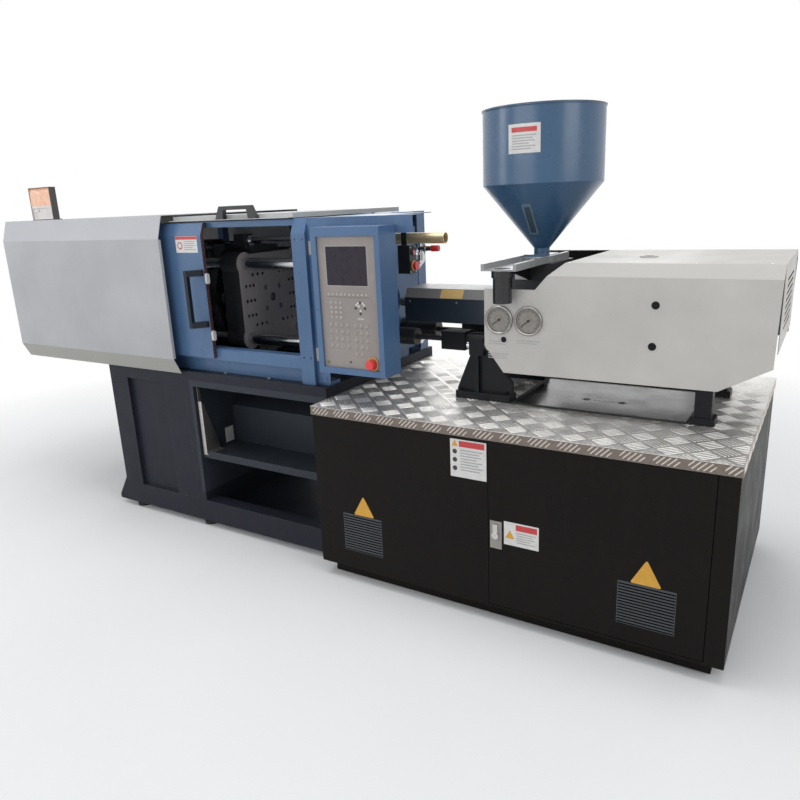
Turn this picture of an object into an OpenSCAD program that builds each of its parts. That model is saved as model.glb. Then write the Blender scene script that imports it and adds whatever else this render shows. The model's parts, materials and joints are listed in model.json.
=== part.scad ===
/* [Machine frame] */
// Height of the checker deck above the floor
deck_z = 740; // [735:1:750]
// Height of the clamping and injection axis above the floor
axis_z = 1080; // [1078:1:1084]
// Depth of the cabinet under the injection unit
cabinet_d = 1100; // [1090:5:1110]
// Left end of the cabinet
cabinet_x0 = 215; // [215:1:216]
// Right end of the cabinet
cabinet_x1 = 1770; // [1765:1:1775]
// Depth of the welded base under the clamp unit
base_d = 900; // [890:5:905]
// Left end of the welded base
base_x0 = -1164; // [-1170:1:-1150]
// Top of the welded base
base_z = 786; // [786:1:787]
// Wall of the cabinet sheets
sheet = 3; // [2:0.5:4]

/* [Clamp unit] */
// Diameter of a tie bar
tie_d = 55; // [50:1:56]
// Distance between tie bar axes, both ways
tie_pitch = 350; // [346:2:354]
// Mould face of the moving platen with the mould open
mould_face_x = -424; // [-430:1:-420]
// Mould face of the stationary platen
fixed_face_x = 150; // [148:1:152]
// Length of each toggle link between its pins
link_l = 200; // [198:1:202]
// Toggle angle with the mould open
open_angle = 69.5; // [69:0.1:70]
// Height of the toggle pins above and below the axis
pin_h = 235; // [234:1:238]
// Distance from the tail pin to the cross link pin
cross_l = 70; // [69:0.5:71]

/* [Guards] */
// Front face of the clamp cover, measured from the axis
cover_y = 500; // [495:1:505]
// Left end of the clamp cover
cover_x0 = -1814; // [-1820:1:-1800]
// Right end of the clamp cover
cover_x1 = -614; // [-616:1:-612]
// Top of the clamp cover
cover_z = 1490; // [1488:1:1495]
// Front face of the gate
gate_y = 450; // [448:1:452]
// Width of the gate
gate_w = 720; // [715:1:724]
// Right edge of the gate when it is open
gate_x1 = -404; // [-406:1:-402]
// Left side of the gate post
post_x = 80; // [78:1:82]

/* [Injection unit] */
// Hopper axis
hopper_x = 961; // [960:0.5:962]
// Hopper radius
hopper_r = 223; // [215:1:228]
// Top of the hopper
hopper_z = 1805; // [1795:1:1812]
// Half width of the white injection cover
hood_y = 335; // [330:1:338]
// Right end of the injection cover
hood_x1 = 1813; // [1810:1:1816]
// Distance from the axis to each guide rod
rod_y = 190; // [188:1:192]
// Height of the guide rods
rod_z = 950; // [949:0.5:951]
// Diameter of a guide rod
rod_d = 40; // [38:1:41]

/* [Control box] */
// Left side of the control box
box_x = 252; // [250:1:254]
// Width of the control box
box_w = 305; // [300:1:306]
// Height of the control box
box_h = 550; // [545:1:555]
// Depth of the control box
box_t = 115; // [110:1:118]

/* [Hidden] */
// neck of the hopper: outer radius, its top, and the top of the cone
neck_r = 30;
neck_z = 1310;
cone_z = 1545;
$fn = 48;

// play between a bar and the bore that slides on it
fit = 0.05;
tie_y = tie_pitch / 2;
tie_r = tie_d / 2;
platen_t = 110;
front_pin_x = mould_face_x - platen_t - 106;
tail_pin_x = front_pin_x - 2 * link_l * cos(open_angle);
tail_face_x = tail_pin_x - 70;
elbow_x = tail_pin_x + link_l * cos(open_angle);
elbow_h = pin_h - link_l * sin(open_angle);
cross_x = tail_pin_x + 2 * cross_l * cos(open_angle);
cross_h = pin_h - cross_l * sin(open_angle);
cross_pin_x = tail_pin_x + cross_l * cos(open_angle);
fixed_back_x = fixed_face_x + 120;
pin_r = 18;
cross_r = 11;
safety_y = -90;
safety_z = axis_z + 277;
rod_r = rod_d / 2;
seam_x = cabinet_x0 + 761;
door_x1 = 1708;
door_pin_x = door_x1 - 5;
door_pin_y = 5 - cabinet_d / 2;
latch_z = 354;
deck_t = 3;
cab_top = deck_z - deck_t;
deck_lip = 35;
door_top = deck_z - deck_lip - 3;
chute_y = -380;
slide_z = axis_z + 182;
guard_hinge_y = 410;
guard_hinge_z = 1468;
guard_hinges = [cover_x1 + 93, post_x - 153];
carriage_rod_y = 95;
gauge_z = 1083;
switch_y = -200;
box_y = -525;
box_z = 875;
key = 11;
box_hinges = [892, 1320];
stop_in = 35;
stop_up = 25;

// A block between two opposite corners
module span(lo, hi) {
    translate(lo) cube(hi - lo);
}

// A rod along X
module rod_x(r, x0, x1, y, z) {
    translate([x0, y, z]) rotate([0, 90, 0]) cylinder(r = r, h = x1 - x0);
}

// A pin along Y, centred on the axis plane
module pin_y(r, half, x, z) {
    translate([x, half, z]) rotate([90, 0, 0]) cylinder(r = r, h = 2 * half);
}

// A plate standing in the XZ plane, from its outline
module plate_xz(points, y0, y1) {
    translate([0, y1, 0]) rotate([90, 0, 0]) linear_extrude(y1 - y0) polygon(points);
}

// A long part with one outline in the YZ plane
module extrude_x(points, x0, x1) {
    translate([x0, 0, 0]) rotate([90, 0, 90]) linear_extrude(x1 - x0) polygon(points);
}

// A strip of louvre slots in a wall that faces along Y
module louvres(x0, x1, z0, z1, y0, y1, n) {
    step = (z1 - z0) / n;
    for (i = [0:n - 1])
        span([x0, y0, z0 + i * step], [x1, y1, z0 + i * step + step * 0.45]);
}

// A flat link with two eyes, centred in the XZ plane, given by its two pins
module link_plate(a, b, r, y0, y1) {
    dx = b[0] - a[0];
    dz = b[1] - a[1];
    l = sqrt(dx * dx + dz * dz);
    translate([a[0], y1, a[1]]) rotate([90, 0, 0]) {
        cylinder(r = r, h = y1 - y0);
        rotate([0, 0, atan2(dz, dx)]) translate([0, -r * 0.8, 0]) cube([l, 1.6 * r, y1 - y0]);
        translate([dx, dz, 0]) cylinder(r = r, h = y1 - y0);
    }
}

// Welded base under the clamp unit, open towards the operator
module clamp_base() {
    hy = base_d / 2;
    bay_x = -569;
    leg = 60;
    right = cabinet_x0 - 1;
    color("#2b313c") {
        difference() {
            span([base_x0, -hy, base_z - 70], [right, hy, base_z]);
            span([base_x0 + 40, -hy + 50, base_z - 80], [right - 40, hy - 50, base_z - 12]);
            span([-560, -150, base_z - 20], [110, 150, base_z + 1]);
        }
        for (s = [-1, 1]) {
            // bottom channel
            span([base_x0, s * (hy - 35) - 35, 30], [right, s * (hy - 35) + 35, 140]);
            // corner and middle legs
            span([base_x0, s * (hy - 35) - 35, 140], [base_x0 + 130, s * (hy - 35) + 35, base_z - 70]);
            span([bay_x - leg, s * (hy - 35) - 35, 140], [bay_x, s * (hy - 35) + 35, base_z - 70]);
            span([right - leg, s * (hy - 35) - 35, 140], [right, s * (hy - 35) + 35, base_z - 70]);
            // folded sheet beside the leg and the recessed panel
            span([-766, s * (hy - 4) - 3, 140], [bay_x - leg, s * (hy - 4) + 3, base_z - 70]);
            span([base_x0 + 130, s * (hy - 22) - 3, 140], [-766, s * (hy - 22) + 3, base_z - 70]);
            span([-769, s * (hy - 14) - 11, 140], [-766, s * (hy - 14) + 11, base_z - 70]);
        }
        // end wall and cross members
        span([base_x0, -hy + 70, 60], [base_x0 + 6, hy - 70, base_z - 70]);
        span([bay_x - leg, -hy + 70, 30], [bay_x, hy - 70, 140]);
        span([right - leg, -hy + 70, 30], [right, hy - 70, 140]);
        // shelf and bottom tray of the open bay
        span([bay_x, -hy + 20, 372], [right - leg, hy - 20, 376]);
        span([bay_x, -hy + 16, 360], [right - leg, -hy + 20, 394]);
        span([bay_x, hy - 20, 360], [right - leg, hy - 16, 394]);
        span([bay_x, -hy + 70, 60], [right - leg, hy - 70, 64]);
        // sloping sheet that throws the mouldings to the operator, with its upright foot
        extrude_x([[160, 716], [163, 712], [-207, 558], [-207, 376], [-210, 376], [-210, 562]],
            bay_x, right - leg);
        // inner wall beside the bay
        span([bay_x - 3, -hy + 70, 140], [bay_x, hy - 70, base_z - 70]);
        // gusset feet at the free end
        for (s = [-1, 1])
            plate_xz([[base_x0, 30], [base_x0, 160], [base_x0 - 70, 52], [base_x0 - 70, 30]],
                s * (hy - 35) - 35, s * (hy - 35) + 35);
    }
}

// Cheek of bare sheet beside the chute, folded along its foot and its upright edge
module drop_chute() {
    x = -560;
    lip = 16 - base_d / 2;
    color("#b9bcc0")
        difference() {
            union() {
                extrude_x([[-436, base_z - 74], [-420, base_z - 74], [-414, 640], [-340, 420], [-330, 376],
                    [-436, 376]], x, x + 2);
                span([x, -436, 376], [x + 30, -330, 378]);
                span([x, -438, 376], [x + 22, -436, 640]);
                // hook over the edge of the base plate
                span([x, -436, base_z - 74], [x + 26, -420, base_z - 70]);
            }
            // notch over the lip of the shelf
            span([x - 1, lip - 0.4, 370], [x + 31, lip + 4.4, 394.4]);
        }
}

// Levelling pads under both bases
module machine_feet() {
    color("#1c1c1e")
        for (s = [-1, 1]) {
            for (x = [base_x0 + 60, -600, cabinet_x0 - 36])
                translate([x, s * (base_d / 2 - 45), 0]) {
                    cylinder(r = 34, h = 16);
                    translate([0, 0, 16]) cylinder(r = 12, h = 14);
                }
            for (x = [cabinet_x0 + 90, seam_x, cabinet_x1 - 90])
                translate([x, s * (cabinet_d / 2 - 90), 0]) cylinder(r = 34, h = 8);
        }
}

// Sheet cabinet under the injection unit
module cabinet_frame() {
    hy = cabinet_d / 2;
    z0 = 62;
    top = cab_top;
    color("#35322f") {
        // plinth, set back from the panels
        difference() {
            span([cabinet_x0 + 40, -hy + 40, 8], [cabinet_x1 - 40, hy - 40, z0]);
            span([cabinet_x0 + 44, -hy + 44, 12], [cabinet_x1 - 44, hy - 44, z0 - 4]);
        }
        difference() {
            span([cabinet_x0, -hy, z0], [cabinet_x1, hy, top]);
            span([cabinet_x0 + sheet, -hy + 30, z0 + sheet], [seam_x - sheet, hy - sheet, top + 1]);
            span([seam_x + sheet, -hy + 30, z0 + sheet], [cabinet_x1 - sheet, hy - sheet, top + 1]);
            // door opening and the rebate that the door closes into
            span([seam_x + 20, -hy - 1, z0 + 28], [door_x1 - 20, -hy + 31, door_top - 20]);
            span([seam_x + 1, -hy - 1, z0 + 8], [door_x1 + 2.5, -hy + 24, door_top + 3]);
            // sockets of the door pivots
            translate([door_pin_x, door_pin_y, z0 + 2]) cylinder(r = 3 + fit, h = 7);
            translate([door_pin_x, door_pin_y, door_top + 2]) cylinder(r = 3 + fit, h = 9);
            // panel of the left bay is a thin sheet
            span([cabinet_x0 + 30, -hy + sheet, z0 + 30], [seam_x - 30, -hy + 31, top - 30]);
            // groove that parts the fixed panel from the rim
            span([cabinet_x0 + 4, -hy - 1, z0 + 6], [seam_x - 3, -hy + 1, z0 + 8]);
            // louvres of the front, rear and end walls
            louvres(340, 518, 143, 302, -hy - 1, -hy + 32, 14);
            louvres(cabinet_x0 + 120, seam_x - 240, 200, 480, hy - 6, hy + 1, 14);
            louvres(seam_x + 200, cabinet_x1 - 160, 200, 480, hy - 6, hy + 1, 14);
        }
    }
}

// Checker plate deck with its turned down edge
module deck_plate() {
    hy = cabinet_d / 2;
    color("#b4b8ba") {
        difference() {
            span([cabinet_x0 - 0.5, -hy - 6, deck_z - deck_lip], [cabinet_x1 + 4, hy + 6, deck_z]);
            span([cabinet_x0 - 2, -hy - 0.2, deck_z - deck_lip - 1], [cabinet_x1 + 0.2, hy + 0.2, cab_top]);
            // drain through the deck under the tray
            for (x = [1170, 1305])
                translate([x, -60, deck_z - 10]) cylinder(r = 9, h = 20);
        }
    }
}

// Stainless tray that catches oil under the carriage
module drip_tray() {
    x0 = 926;
    x1 = 1560;
    y0 = -222;
    color("#9aa0a5")
        difference() {
            span([x0, y0, deck_z], [x1, -y0, deck_z + 8]);
            span([x0 + 2, y0 + 2, deck_z + 2], [x1 - 2, -y0 - 2, deck_z + 9]);
            for (x = [1170, 1305])
                translate([x, -60, deck_z - 1]) rotate([0, 0, 45]) translate([-13, -13, 0]) cube([26, 26, 5]);
            for (i = [0:4])
                translate([1204 + i * 17, -60, deck_z - 1]) cylinder(r = 4, h = 5);
        }
}

// Oil tank with its motor, pump, filter and valve blocks
module power_pack() {
    z0 = 62 + sheet;
    color("#3c4a52") {
        // tank
        difference() {
            span([280, -60, z0], [900, 500, z0 + 330]);
            span([284, -56, z0 + 4], [896, 496, z0 + 326]);
            translate([420, 380, z0 + 320]) cylinder(r = 40, h = 20);
        }
        translate([420, 380, z0 + 330]) {
            difference() {
                cylinder(r = 55, h = 10);
                translate([0, 0, -1]) cylinder(r = 40, h = 12);
            }
            translate([0, 0, 10]) cylinder(r = 48, h = 30);
        }
        // motor on its foot, in front of the tank
        for (x = [400, 560])
            span([x, -330, z0], [x + 40, -130, z0 + 40]);
        rod_x(105, 370, 640, -230, z0 + 145);
        rod_x(85, 330, 370, -230, z0 + 145);
        // bell housing and pump
        rod_x(80, 640, 700, -230, z0 + 145);
        rod_x(60, 700, 830, -230, z0 + 145);
        span([710, -290, z0 + 205], [820, -170, z0 + 240]);
        // valve stack on the tank
        span([560, 150, z0 + 330], [860, 350, z0 + 400]);
        for (i = [0:3])
            span([575 + i * 72, 190, z0 + 400], [625 + i * 72, 310, z0 + 470]);
    }
}

// Mounting plate with drives, contactors and terminals
module electrical_plate() {
    z0 = 62 + sheet;
    y0 = 300;
    color("#c9cac6") {
        span([1010, y0, z0 + 40], [1690, y0 + 4, z0 + 600]);
        for (x = [1010, 1660])
            span([x, y0 - 20, z0], [x + 30, y0 + 4, z0 + 40]);
        // drives
        for (i = [0:1])
            span([1040 + i * 210, y0 - 170, z0 + 330], [1220 + i * 210, y0, z0 + 570]);
        // contactors and breakers in rows
        for (i = [0:6])
            span([1040 + i * 62, y0 - 80, z0 + 200], [1092 + i * 62, y0, z0 + 290]);
        for (i = [0:9])
            span([1040 + i * 42, y0 - 60, z0 + 90], [1078 + i * 42, y0, z0 + 160]);
        span([1500, y0 - 110, z0 + 120], [1670, y0, z0 + 300]);
    }
}

// One platen blank with its four tie bar bores
module platen_blank(x0, x1, half, corner_r, bore_r) {
    difference() {
        union() {
            span([x0, -half, axis_z - half * 0.7], [x1, half, axis_z + half * 0.7]);
            span([x0, -half * 0.7, axis_z - half], [x1, half * 0.7, axis_z + half]);
            for (sy = [-1, 1])
                for (sz = [-1, 1])
                    rod_x(corner_r, x0, x1, sy * tie_y, axis_z + sz * tie_y);
        }
        for (sy = [-1, 1])
            for (sz = [-1, 1])
                rod_x(bore_r, x0 - 1, x1 + 1, sy * tie_y, axis_z + sz * tie_y);
    }
}

// Tail platen with the lugs of the toggle and the clamp cylinder
module tail_platen() {
    x1 = tail_face_x;
    x0 = x1 - 110;
    color("#33363b") {
        difference() {
            union() {
                platen_blank(x0, x1, 225, 58, tie_r);
                // shoes on the base
                for (s = [-1, 1])
                    span([x0, s * 180 - 40, base_z], [x1, s * 180 + 40, axis_z - 140]);
                // lugs for the tail pins
                for (sy = [-1, 1])
                    for (sz = [-1, 1]) {
                        span([x1 - 1, sy * 109 - 13, axis_z + sz * pin_h - 30],
                            [tail_pin_x, sy * 109 + 13, axis_z + sz * pin_h + 30]);
                        translate([tail_pin_x, sy * 109 + 13, axis_z + sz * pin_h])
                            rotate([90, 0, 0]) cylinder(r = 30, h = 26);
                    }
                for (sz = [-1, 1])
                    span([x0, -122, axis_z + sz * 235 - 40], [x1, 122, axis_z + sz * 235 + 40]);
            }
            for (sz = [-1, 1])
                pin_y(pin_r + fit, 130, tail_pin_x, axis_z + sz * pin_h);
            rod_x(22 + fit, x0 - 1, x1 + 1, 0, axis_z);
            for (sy = [-1, 1])
                for (sz = [-1, 1])
                    rod_x(tie_r, x0 - 1, x1 + 1, sy * tie_y, axis_z + sz * tie_y);
        }
        // clamp cylinder with its end caps
        difference() {
            union() {
                rod_x(75, x0 - 40, x0, 0, axis_z);
                rod_x(58, x0 - 300, x0 - 40, 0, axis_z);
                rod_x(70, x0 - 340, x0 - 300, 0, axis_z);
            }
            rod_x(22 + fit, x0 - 330, x0 + 1, 0, axis_z);
        }
        // ring gear that turns the four adjusting nuts
        difference() {
            rod_x(196, x0 - 26, x0 - 8, 0, axis_z);
            rod_x(174, x0 - 27, x0 - 7, 0, axis_z);
        }
        for (a = [0:90:270])
            rotate_about_axis(a) span([x0 - 24, 168, axis_z - 12], [x0, 190, axis_z + 12]);
    }
}

// Turn about the machine axis
module rotate_about_axis(a) {
    translate([0, 0, axis_z]) rotate([a, 0, 0]) translate([0, 0, -axis_z]) children();
}

// Stationary platen with the locating ring, carriage rods and the safety bar guide
module stationary_platen() {
    x0 = fixed_face_x;
    x1 = fixed_back_x;
    color("#2f3237") {
        difference() {
            union() {
                platen_blank(x0, x1, 235, 60, tie_r);
                for (s = [-1, 1])
                    span([x0, s * 180 - 45, base_z], [x1 - 60, s * 180 + 45, axis_z - 140]);
                span([x0 + 70, -220, axis_z + 200], [x1, 220, safety_z + 36]);
            }
            rod_x(50, x0 - 1, x0 + 20, 0, axis_z);
            rod_x(38, x0 - 1, x1 + 1, 0, axis_z);
            translate([x1 + 1, 0, axis_z]) rotate([0, -90, 0]) cylinder(r1 = 70, r2 = 38, h = 60);
            rod_x(15 + fit, x0, x1 + 1, safety_y, safety_z);
            for (sy = [-1, 1])
                for (sz = [-1, 1]) {
                    rod_x(tie_r, x0 - 1, x1 + 1, sy * tie_y, axis_z + sz * tie_y);
                    rod_x(8, x0 - 1, x0 + 35, sy * 105, axis_z + sz * 70);
                    rod_x(8, x0 - 1, x0 + 35, sy * 70, axis_z + sz * 140);
                }
        }
        // carriage cylinder rods with their flanges
        for (s = [-1, 1]) {
            rod_x(43, x1, x1 + 40, s * carriage_rod_y, rod_z);
            rod_x(36, x1 + 40, 450, s * carriage_rod_y, rod_z);
            rod_x(11, 450, 740, s * carriage_rod_y, rod_z);
        }
    }
}

// Four tie bars with their nuts
module tie_bars() {
    back = tail_face_x - 110;
    color("#d7dadd")
        for (sy = [-1, 1])
            for (sz = [-1, 1]) {
                rod_x(tie_r, back - 90, fixed_back_x + 60, sy * tie_y, axis_z + sz * tie_y);
                translate([fixed_back_x, sy * tie_y, axis_z + sz * tie_y])
                    rotate([0, 90, 0]) cylinder(r = 46, h = 45, $fn = 6);
                translate([back - 55, sy * tie_y, axis_z + sz * tie_y])
                    rotate([0, 90, 0]) cylinder(r = 50, h = 54.95, $fn = 32);
            }
}

// Open brass coloured sleeve behind the stationary platen
module safety_bar_sleeve() {
    color("#b5995a")
        difference() {
            rod_x(22, fixed_back_x, 592, safety_y, safety_z);
            rod_x(19, fixed_back_x - 1, 593, safety_y, safety_z);
        }
}

// Outline of a cover side, folded at its top and bottom edges, with its thickness
function cover_outline(t) = [
    [-cover_y + 35, 777], [-cover_y, 850], [-cover_y, 1390], [-cover_y + 32, cover_z],
    [-cover_y + 60, cover_z], [-cover_y + 60, cover_z - t], [-cover_y + 32 + t, cover_z - t],
    [-cover_y + t, 1390 - t], [-cover_y + t, 850 + t], [-cover_y + 35 + t, 777]
];

// One side cover of the clamp unit
module cover_side() {
    extrude_x(cover_outline(2), cover_x0, cover_x1);
    // stiffening return at the gate end
    extrude_x([[-cover_y + 2, 852], [-cover_y + 14, 852], [-cover_y + 14, 1388], [-cover_y + 2, 1388]],
        cover_x1 - 2, cover_x1);
}

// Operator side cover of the clamp unit
module clamp_cover_front() {
    color("#c9c9c4") {
        cover_side();
        // brackets to the welded base
        for (x = [base_x0 + 30, -700])
            span([x, -cover_y + 37, 777], [x + 40, -base_d / 2, 783]);
    }
}

// Rear side cover of the clamp unit
module clamp_cover_rear() {
    color("#c9c9c4") {
        mirror([0, 1, 0]) cover_side();
        for (x = [base_x0 + 30, -700])
            span([x, base_d / 2, 777], [x + 40, cover_y - 37, 783]);
    }
}

// Top and end sheets of the clamp cover, with louvres in the end
module clamp_cover_top() {
    hy = cover_y - 60;
    color("#c9c9c4")
        difference() {
            union() {
                span([cover_x0, -hy, cover_z - 2], [cover_x1, hy, cover_z]);
                span([cover_x0, -hy, 800], [cover_x0 + 2, hy, cover_z - 2]);
                // end sheet wraps to the folded sides
                for (s = [-1, 1])
                    span([cover_x0, s * (hy + 28) - 28, 860], [cover_x0 + 2, s * (hy + 28) + 28, 1380]);
            }
            for (i = [0:11])
                for (s = [-1, 1])
                    span([cover_x0 - 1, s * 190 - 130, 1000 + i * 26],
                        [cover_x0 + 3, s * 190 + 130, 1011 + i * 26]);
        }
}

// Signal lamp in its bracket on the clamp cover
module beacon_lamp() {
    color("#e79a78")
        translate([-1712, -376, cover_z]) {
            // tray shaped bracket with its foot
            difference() {
                span([0, 0, 0], [180, 36, 163]);
                span([4, -1, 4], [176, 32, 159]);
            }
            span([20, 30, 0], [160, 62, 4]);
            // socket with its switch, and the lens above
            span([4, 6, 4], [176, 32, 62]);
            span([26, 2, 40], [62, 6, 52]);
            extrude_x([[2, 60], [34, 60], [34, 161], [10, 161], [4, 148], [2, 128]], 5, 175);
        }
}

// Post and rails that carry the gates
module gate_frame() {
    hy = 430;
    x0 = base_x0 + 14;
    color("#45699a") {
        for (s = [-1, 1]) {
            // posts at both ends, the right one with a bevelled head
            if (s < 0)
                plate_post();
            else
                mirror([0, 1, 0]) plate_post();
            span([x0, s * 408 - 22, base_z], [x0 + 40, s * 408 + 22, s < 0 ? 1400 : 1430]);
            if (s < 0)
                span([x0, -404, 1390], [x0 + 40, -386, 1440]);
            // lower rail that the gate runs along
            extrude_x([[s * hy, 850], [s * (hy - 50), 850], [s * (hy - 50), 904], [s * (hy - 8), 904],
                [s * hy, 896]], x0 + 40, post_x);
            span([x0 + 40, s * 395 - 5, base_z], [post_x, s * 395 + 5, 850]);
            // upper rail, narrower on the operator side where the gate head leans in
            if (s < 0)
                span([x0, -404, 1430], [post_x, -386, 1455]);
            else
                span([x0, 386, 1430], [post_x, 430, 1455]);
        }
        // hinge lugs and pins of the top guard
        for (x = guard_hinges) {
            extrude_x([[guard_hinge_y - 4, 1455],
                [guard_hinge_y + 5.5, 1455], [guard_hinge_y + 5.5, guard_hinge_z],
                [guard_hinge_y - 4, guard_hinge_z]], x - 14, x - 0.4);
            rod_x(5.5, x - 14, x - 0.4, guard_hinge_y, guard_hinge_z);
            rod_x(4, x - 14, x + 60, guard_hinge_y, guard_hinge_z);
        }
    }
}

// Front post of the gate frame
module plate_post() {
    extrude_x([[-430, base_z], [-430, 1400], [-405, 1458], [-330, 1458], [-330, base_z]],
        post_x, post_x + 69);
}

// Sheet housing beside the stationary platen, open towards the machine
module housing_side(x1) {
    x0 = post_x + 69;
    difference() {
        span([x0, -412, 795], [x1, -340, 1458]);
        span([x0 - 1, -409, 794], [x1 - 3, -339, 1455]);
    }
    // foot on the base
    span([x0, -409, base_z], [x0 + 61, -340, 802]);
}

// Operator side housing with its hood band and the hinges of the control box
module housing_front() {
    x0 = post_x + 69;
    x1 = 480;
    band_x = 630;
    color("#3f6493") {
        difference() {
            housing_side(x1);
            // clearance below, behind the control box
            span([x0 + 65, -413, 794], [x1 + 1, -339, 862]);
        }
        // band that runs on over the barrel end
        span([x1, -412, 1395], [band_x, -409, 1458]);
        span([x1 - 3, -409, 1455], [band_x, -340, 1458]);
        // top sheet to the middle of the machine
        span([x0, -340, 1455], [x1, 0, 1458]);
        for (z = box_hinges) {
            // leaf on the housing
            span([151, -413.5, z - 4], [238, -412, z + 50]);
            difference() {
                union() {
                    span([232, -424, z], [248, -412, z + 46]);
                    translate([240, -424, z]) cylinder(r = 8, h = 46);
                }
                translate([240, -424, z + 16]) cylinder(r = 12, h = 30.2);
            }
            translate([240, -424, z]) cylinder(r = 4, h = 46);
        }
    }
}

// Rear housing, which covers only the post
module housing_rear() {
    x0 = post_x + 69;
    color("#3f6493") {
        mirror([0, 1, 0]) housing_side(x0 + 64);
        span([x0, 0, 1455], [x0 + 64, 340, 1458]);
    }
}

// Small switch box that hangs from the housing
module switch_box() {
    color("#1d1e20") {
        difference() {
            span([448, switch_y - 25, 1227], [502, switch_y + 25, 1337]);
            rod_x(7 + fit, 482, 503, switch_y, 1257);
        }
        // flush button and the ring of the mushroom button
        rod_x(11, 502, 508, switch_y, 1309);
        difference() {
            rod_x(19, 502, 506, switch_y, 1257);
            rod_x(7 + fit, 501, 507, switch_y, 1257);
        }
        // strap to the housing top
        span([452, switch_y - 2, 1337], [476, switch_y + 2, 1455]);
    }
}

// Red mushroom button of the switch box
module mushroom_button() {
    color("#c8202a") {
        rod_x(7, 492, 512, switch_y, 1257);
        rod_x(17, 512, 522, switch_y, 1257);
    }
}

// Two guide rods of the injection carriage
module guide_rods() {
    color("#cfd2d5")
        for (s = [-1, 1]) {
            rod_x(rod_r, 742, 1660, s * rod_y, rod_z);
            rod_x(14, 732, 742, s * rod_y, rod_z);
        }
}

// Cast brackets that carry the guide rods on the deck
module rod_supports() {
    color("#1f2022")
        for (s = [-1, 1]) {
            difference() {
                union() {
                    plate_xz([[691, deck_z], [691, 778], [752, 925], [752, 985], [800, 985],
                        [812, 962], [846, 915],
                        [922, 812], [922, deck_z]], s * rod_y - 12, s * rod_y + 12);
                    span([691, s * rod_y - 32, deck_z], [922, s * rod_y + 32, deck_z + 30]);
                    span([752, s * rod_y - 32, rod_z - 32], [812, s * rod_y + 32, rod_z + 35]);
                    span([772, s * rod_y - 28, deck_z + 30], [790, s * rod_y + 28, rod_z - 32]);
                }
                rod_x(rod_r, 740, 870, s * rod_y, rod_z);
            }
            difference() {
                union() {
                    span([1567, s * rod_y - 32, deck_z], [1647, s * rod_y + 32, deck_z + 26]);
                    span([1580, s * rod_y - 26, deck_z + 26], [1634, s * rod_y + 26, rod_z + 34]);
                }
                rod_x(rod_r, 1560, 1650, s * rod_y, rod_z);
            }
        }
}

// Sliding gate on the operator side
module front_gate() {
    x0 = gate_x1 - gate_w;
    win0 = x0 + 60;
    win1 = gate_x1 - 250;
    color("#4a6fa3") {
        difference() {
            // sheet with a head that leans in
            extrude_x([[-gate_y, 862], [-gate_y, 1400], [-gate_y + 22, 1452], [-gate_y + 38, 1452],
                [-gate_y + 18, 1404], [-gate_y + 18, 862]], x0, gate_x1);
            extrude_x([[-gate_y + 2, 880], [-gate_y + 2, 1400.4], [-gate_y + 18, 1438], [-gate_y + 60, 1438],
                [-gate_y + 60, 880]], x0 - 1, gate_x1 - 2);
            span([win0, -gate_y - 1, 960], [win1, -gate_y + 3, 1340]);
        }
        // rim round the window
        difference() {
            span([win0 - 12, -gate_y + 2, 948], [win1 + 12, -gate_y + 6, 1352]);
            span([win0, -gate_y + 1, 960], [win1, -gate_y + 7, 1340]);
        }
        // rubber buffers on the closing edge
        for (z = [964, 1216])
            translate([gate_x1, -gate_y + 9, z]) rotate([0, 90, 0]) {
                for (k = [-14, 14])
                    translate([k, 0, 0]) cylinder(r = 9, h = 11);
                translate([-14, -9, 0]) cube([28, 18, 11]);
            }
    }
}

// Clear window of the operator side gate
module front_gate_window() {
    x0 = gate_x1 - gate_w;
    color("#dfe7ea") span([x0 + 50, -gate_y + 6, 950], [gate_x1 - 240, -gate_y + 10, 1350]);
}

// Bow handle of the operator side gate
module front_gate_handle() {
    x = gate_x1;
    bow = [[-gate_y, x - 6], [-gate_y - 12, x - 6], [-gate_y - 62, x - 46], [-gate_y - 62, x - 64],
        [-gate_y - 44, x - 64], [-gate_y - 14, x - 36], [-gate_y, x - 36]];
    color("#1d1f22") {
        // two arms, bent forward and away from the closing edge
        for (z = [1004, 1229])
            translate([0, 0, z]) linear_extrude(26) polygon([for (p = bow) [p[1], p[0]]]);
        // grip
        span([x - 64, -gate_y - 62, 1030], [x - 46, -gate_y - 44, 1229]);
    }
}

// Sliding gate on the rear side, closed
module rear_gate() {
    x0 = -650;
    x1 = post_x - 6;
    color("#4a6fa3") {
        difference() {
            span([x0, gate_y - 18, 862], [x1, gate_y, 1452]);
            span([x0 + 2, gate_y - 19, 880], [x1 - 2, gate_y - 2, 1434]);
            span([x0 + 120, gate_y - 3, 980], [x1 - 120, gate_y + 1, 1320]);
        }
        span([x0 + 110, gate_y - 6, 970], [x1 - 110, gate_y - 2, 1330]);
        // bow handle
        for (z = [1090, 1230])
            span([x1 - 80, gate_y, z], [x1 - 60, gate_y + 30, z + 20]);
        span([x1 - 80, gate_y + 30, 1090], [x1 - 60, gate_y + 42, 1250]);
    }
}

// Hinged sheet over the mould area
module top_guard() {
    x0 = cover_x1 + 3;
    x1 = post_x - 3;
    color("#c9cbc9") {
        difference() {
            span([x0, -404, 1460], [x1, 404, 1480]);
            span([x0 + 2, -402, 1459], [x1 - 2, 402, 1478]);
        }
        span([x0, -430, 1460], [x1, -404, 1463]);
        // hinge barrels on the rear edge
        difference() {
            for (x = guard_hinges)
                rod_x(7, x, x + 60, guard_hinge_y, guard_hinge_z);
            rod_x(4 + fit, x0, x1, guard_hinge_y, guard_hinge_z);
        }
    }
}

// Bridge handle of the top guard
module top_guard_handle() {
    x0 = -326;
    x1 = -96;
    color("#1b1c1e") {
        plate_xz([[x0, 1463], [x0 + 44, 1463], [x0 + 50, 1500], [x1 - 50, 1500], [x1 - 44, 1463],
            [x1, 1463], [x1 - 26, 1516], [x0 + 26, 1516]], -428, -408);
    }
}

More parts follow.
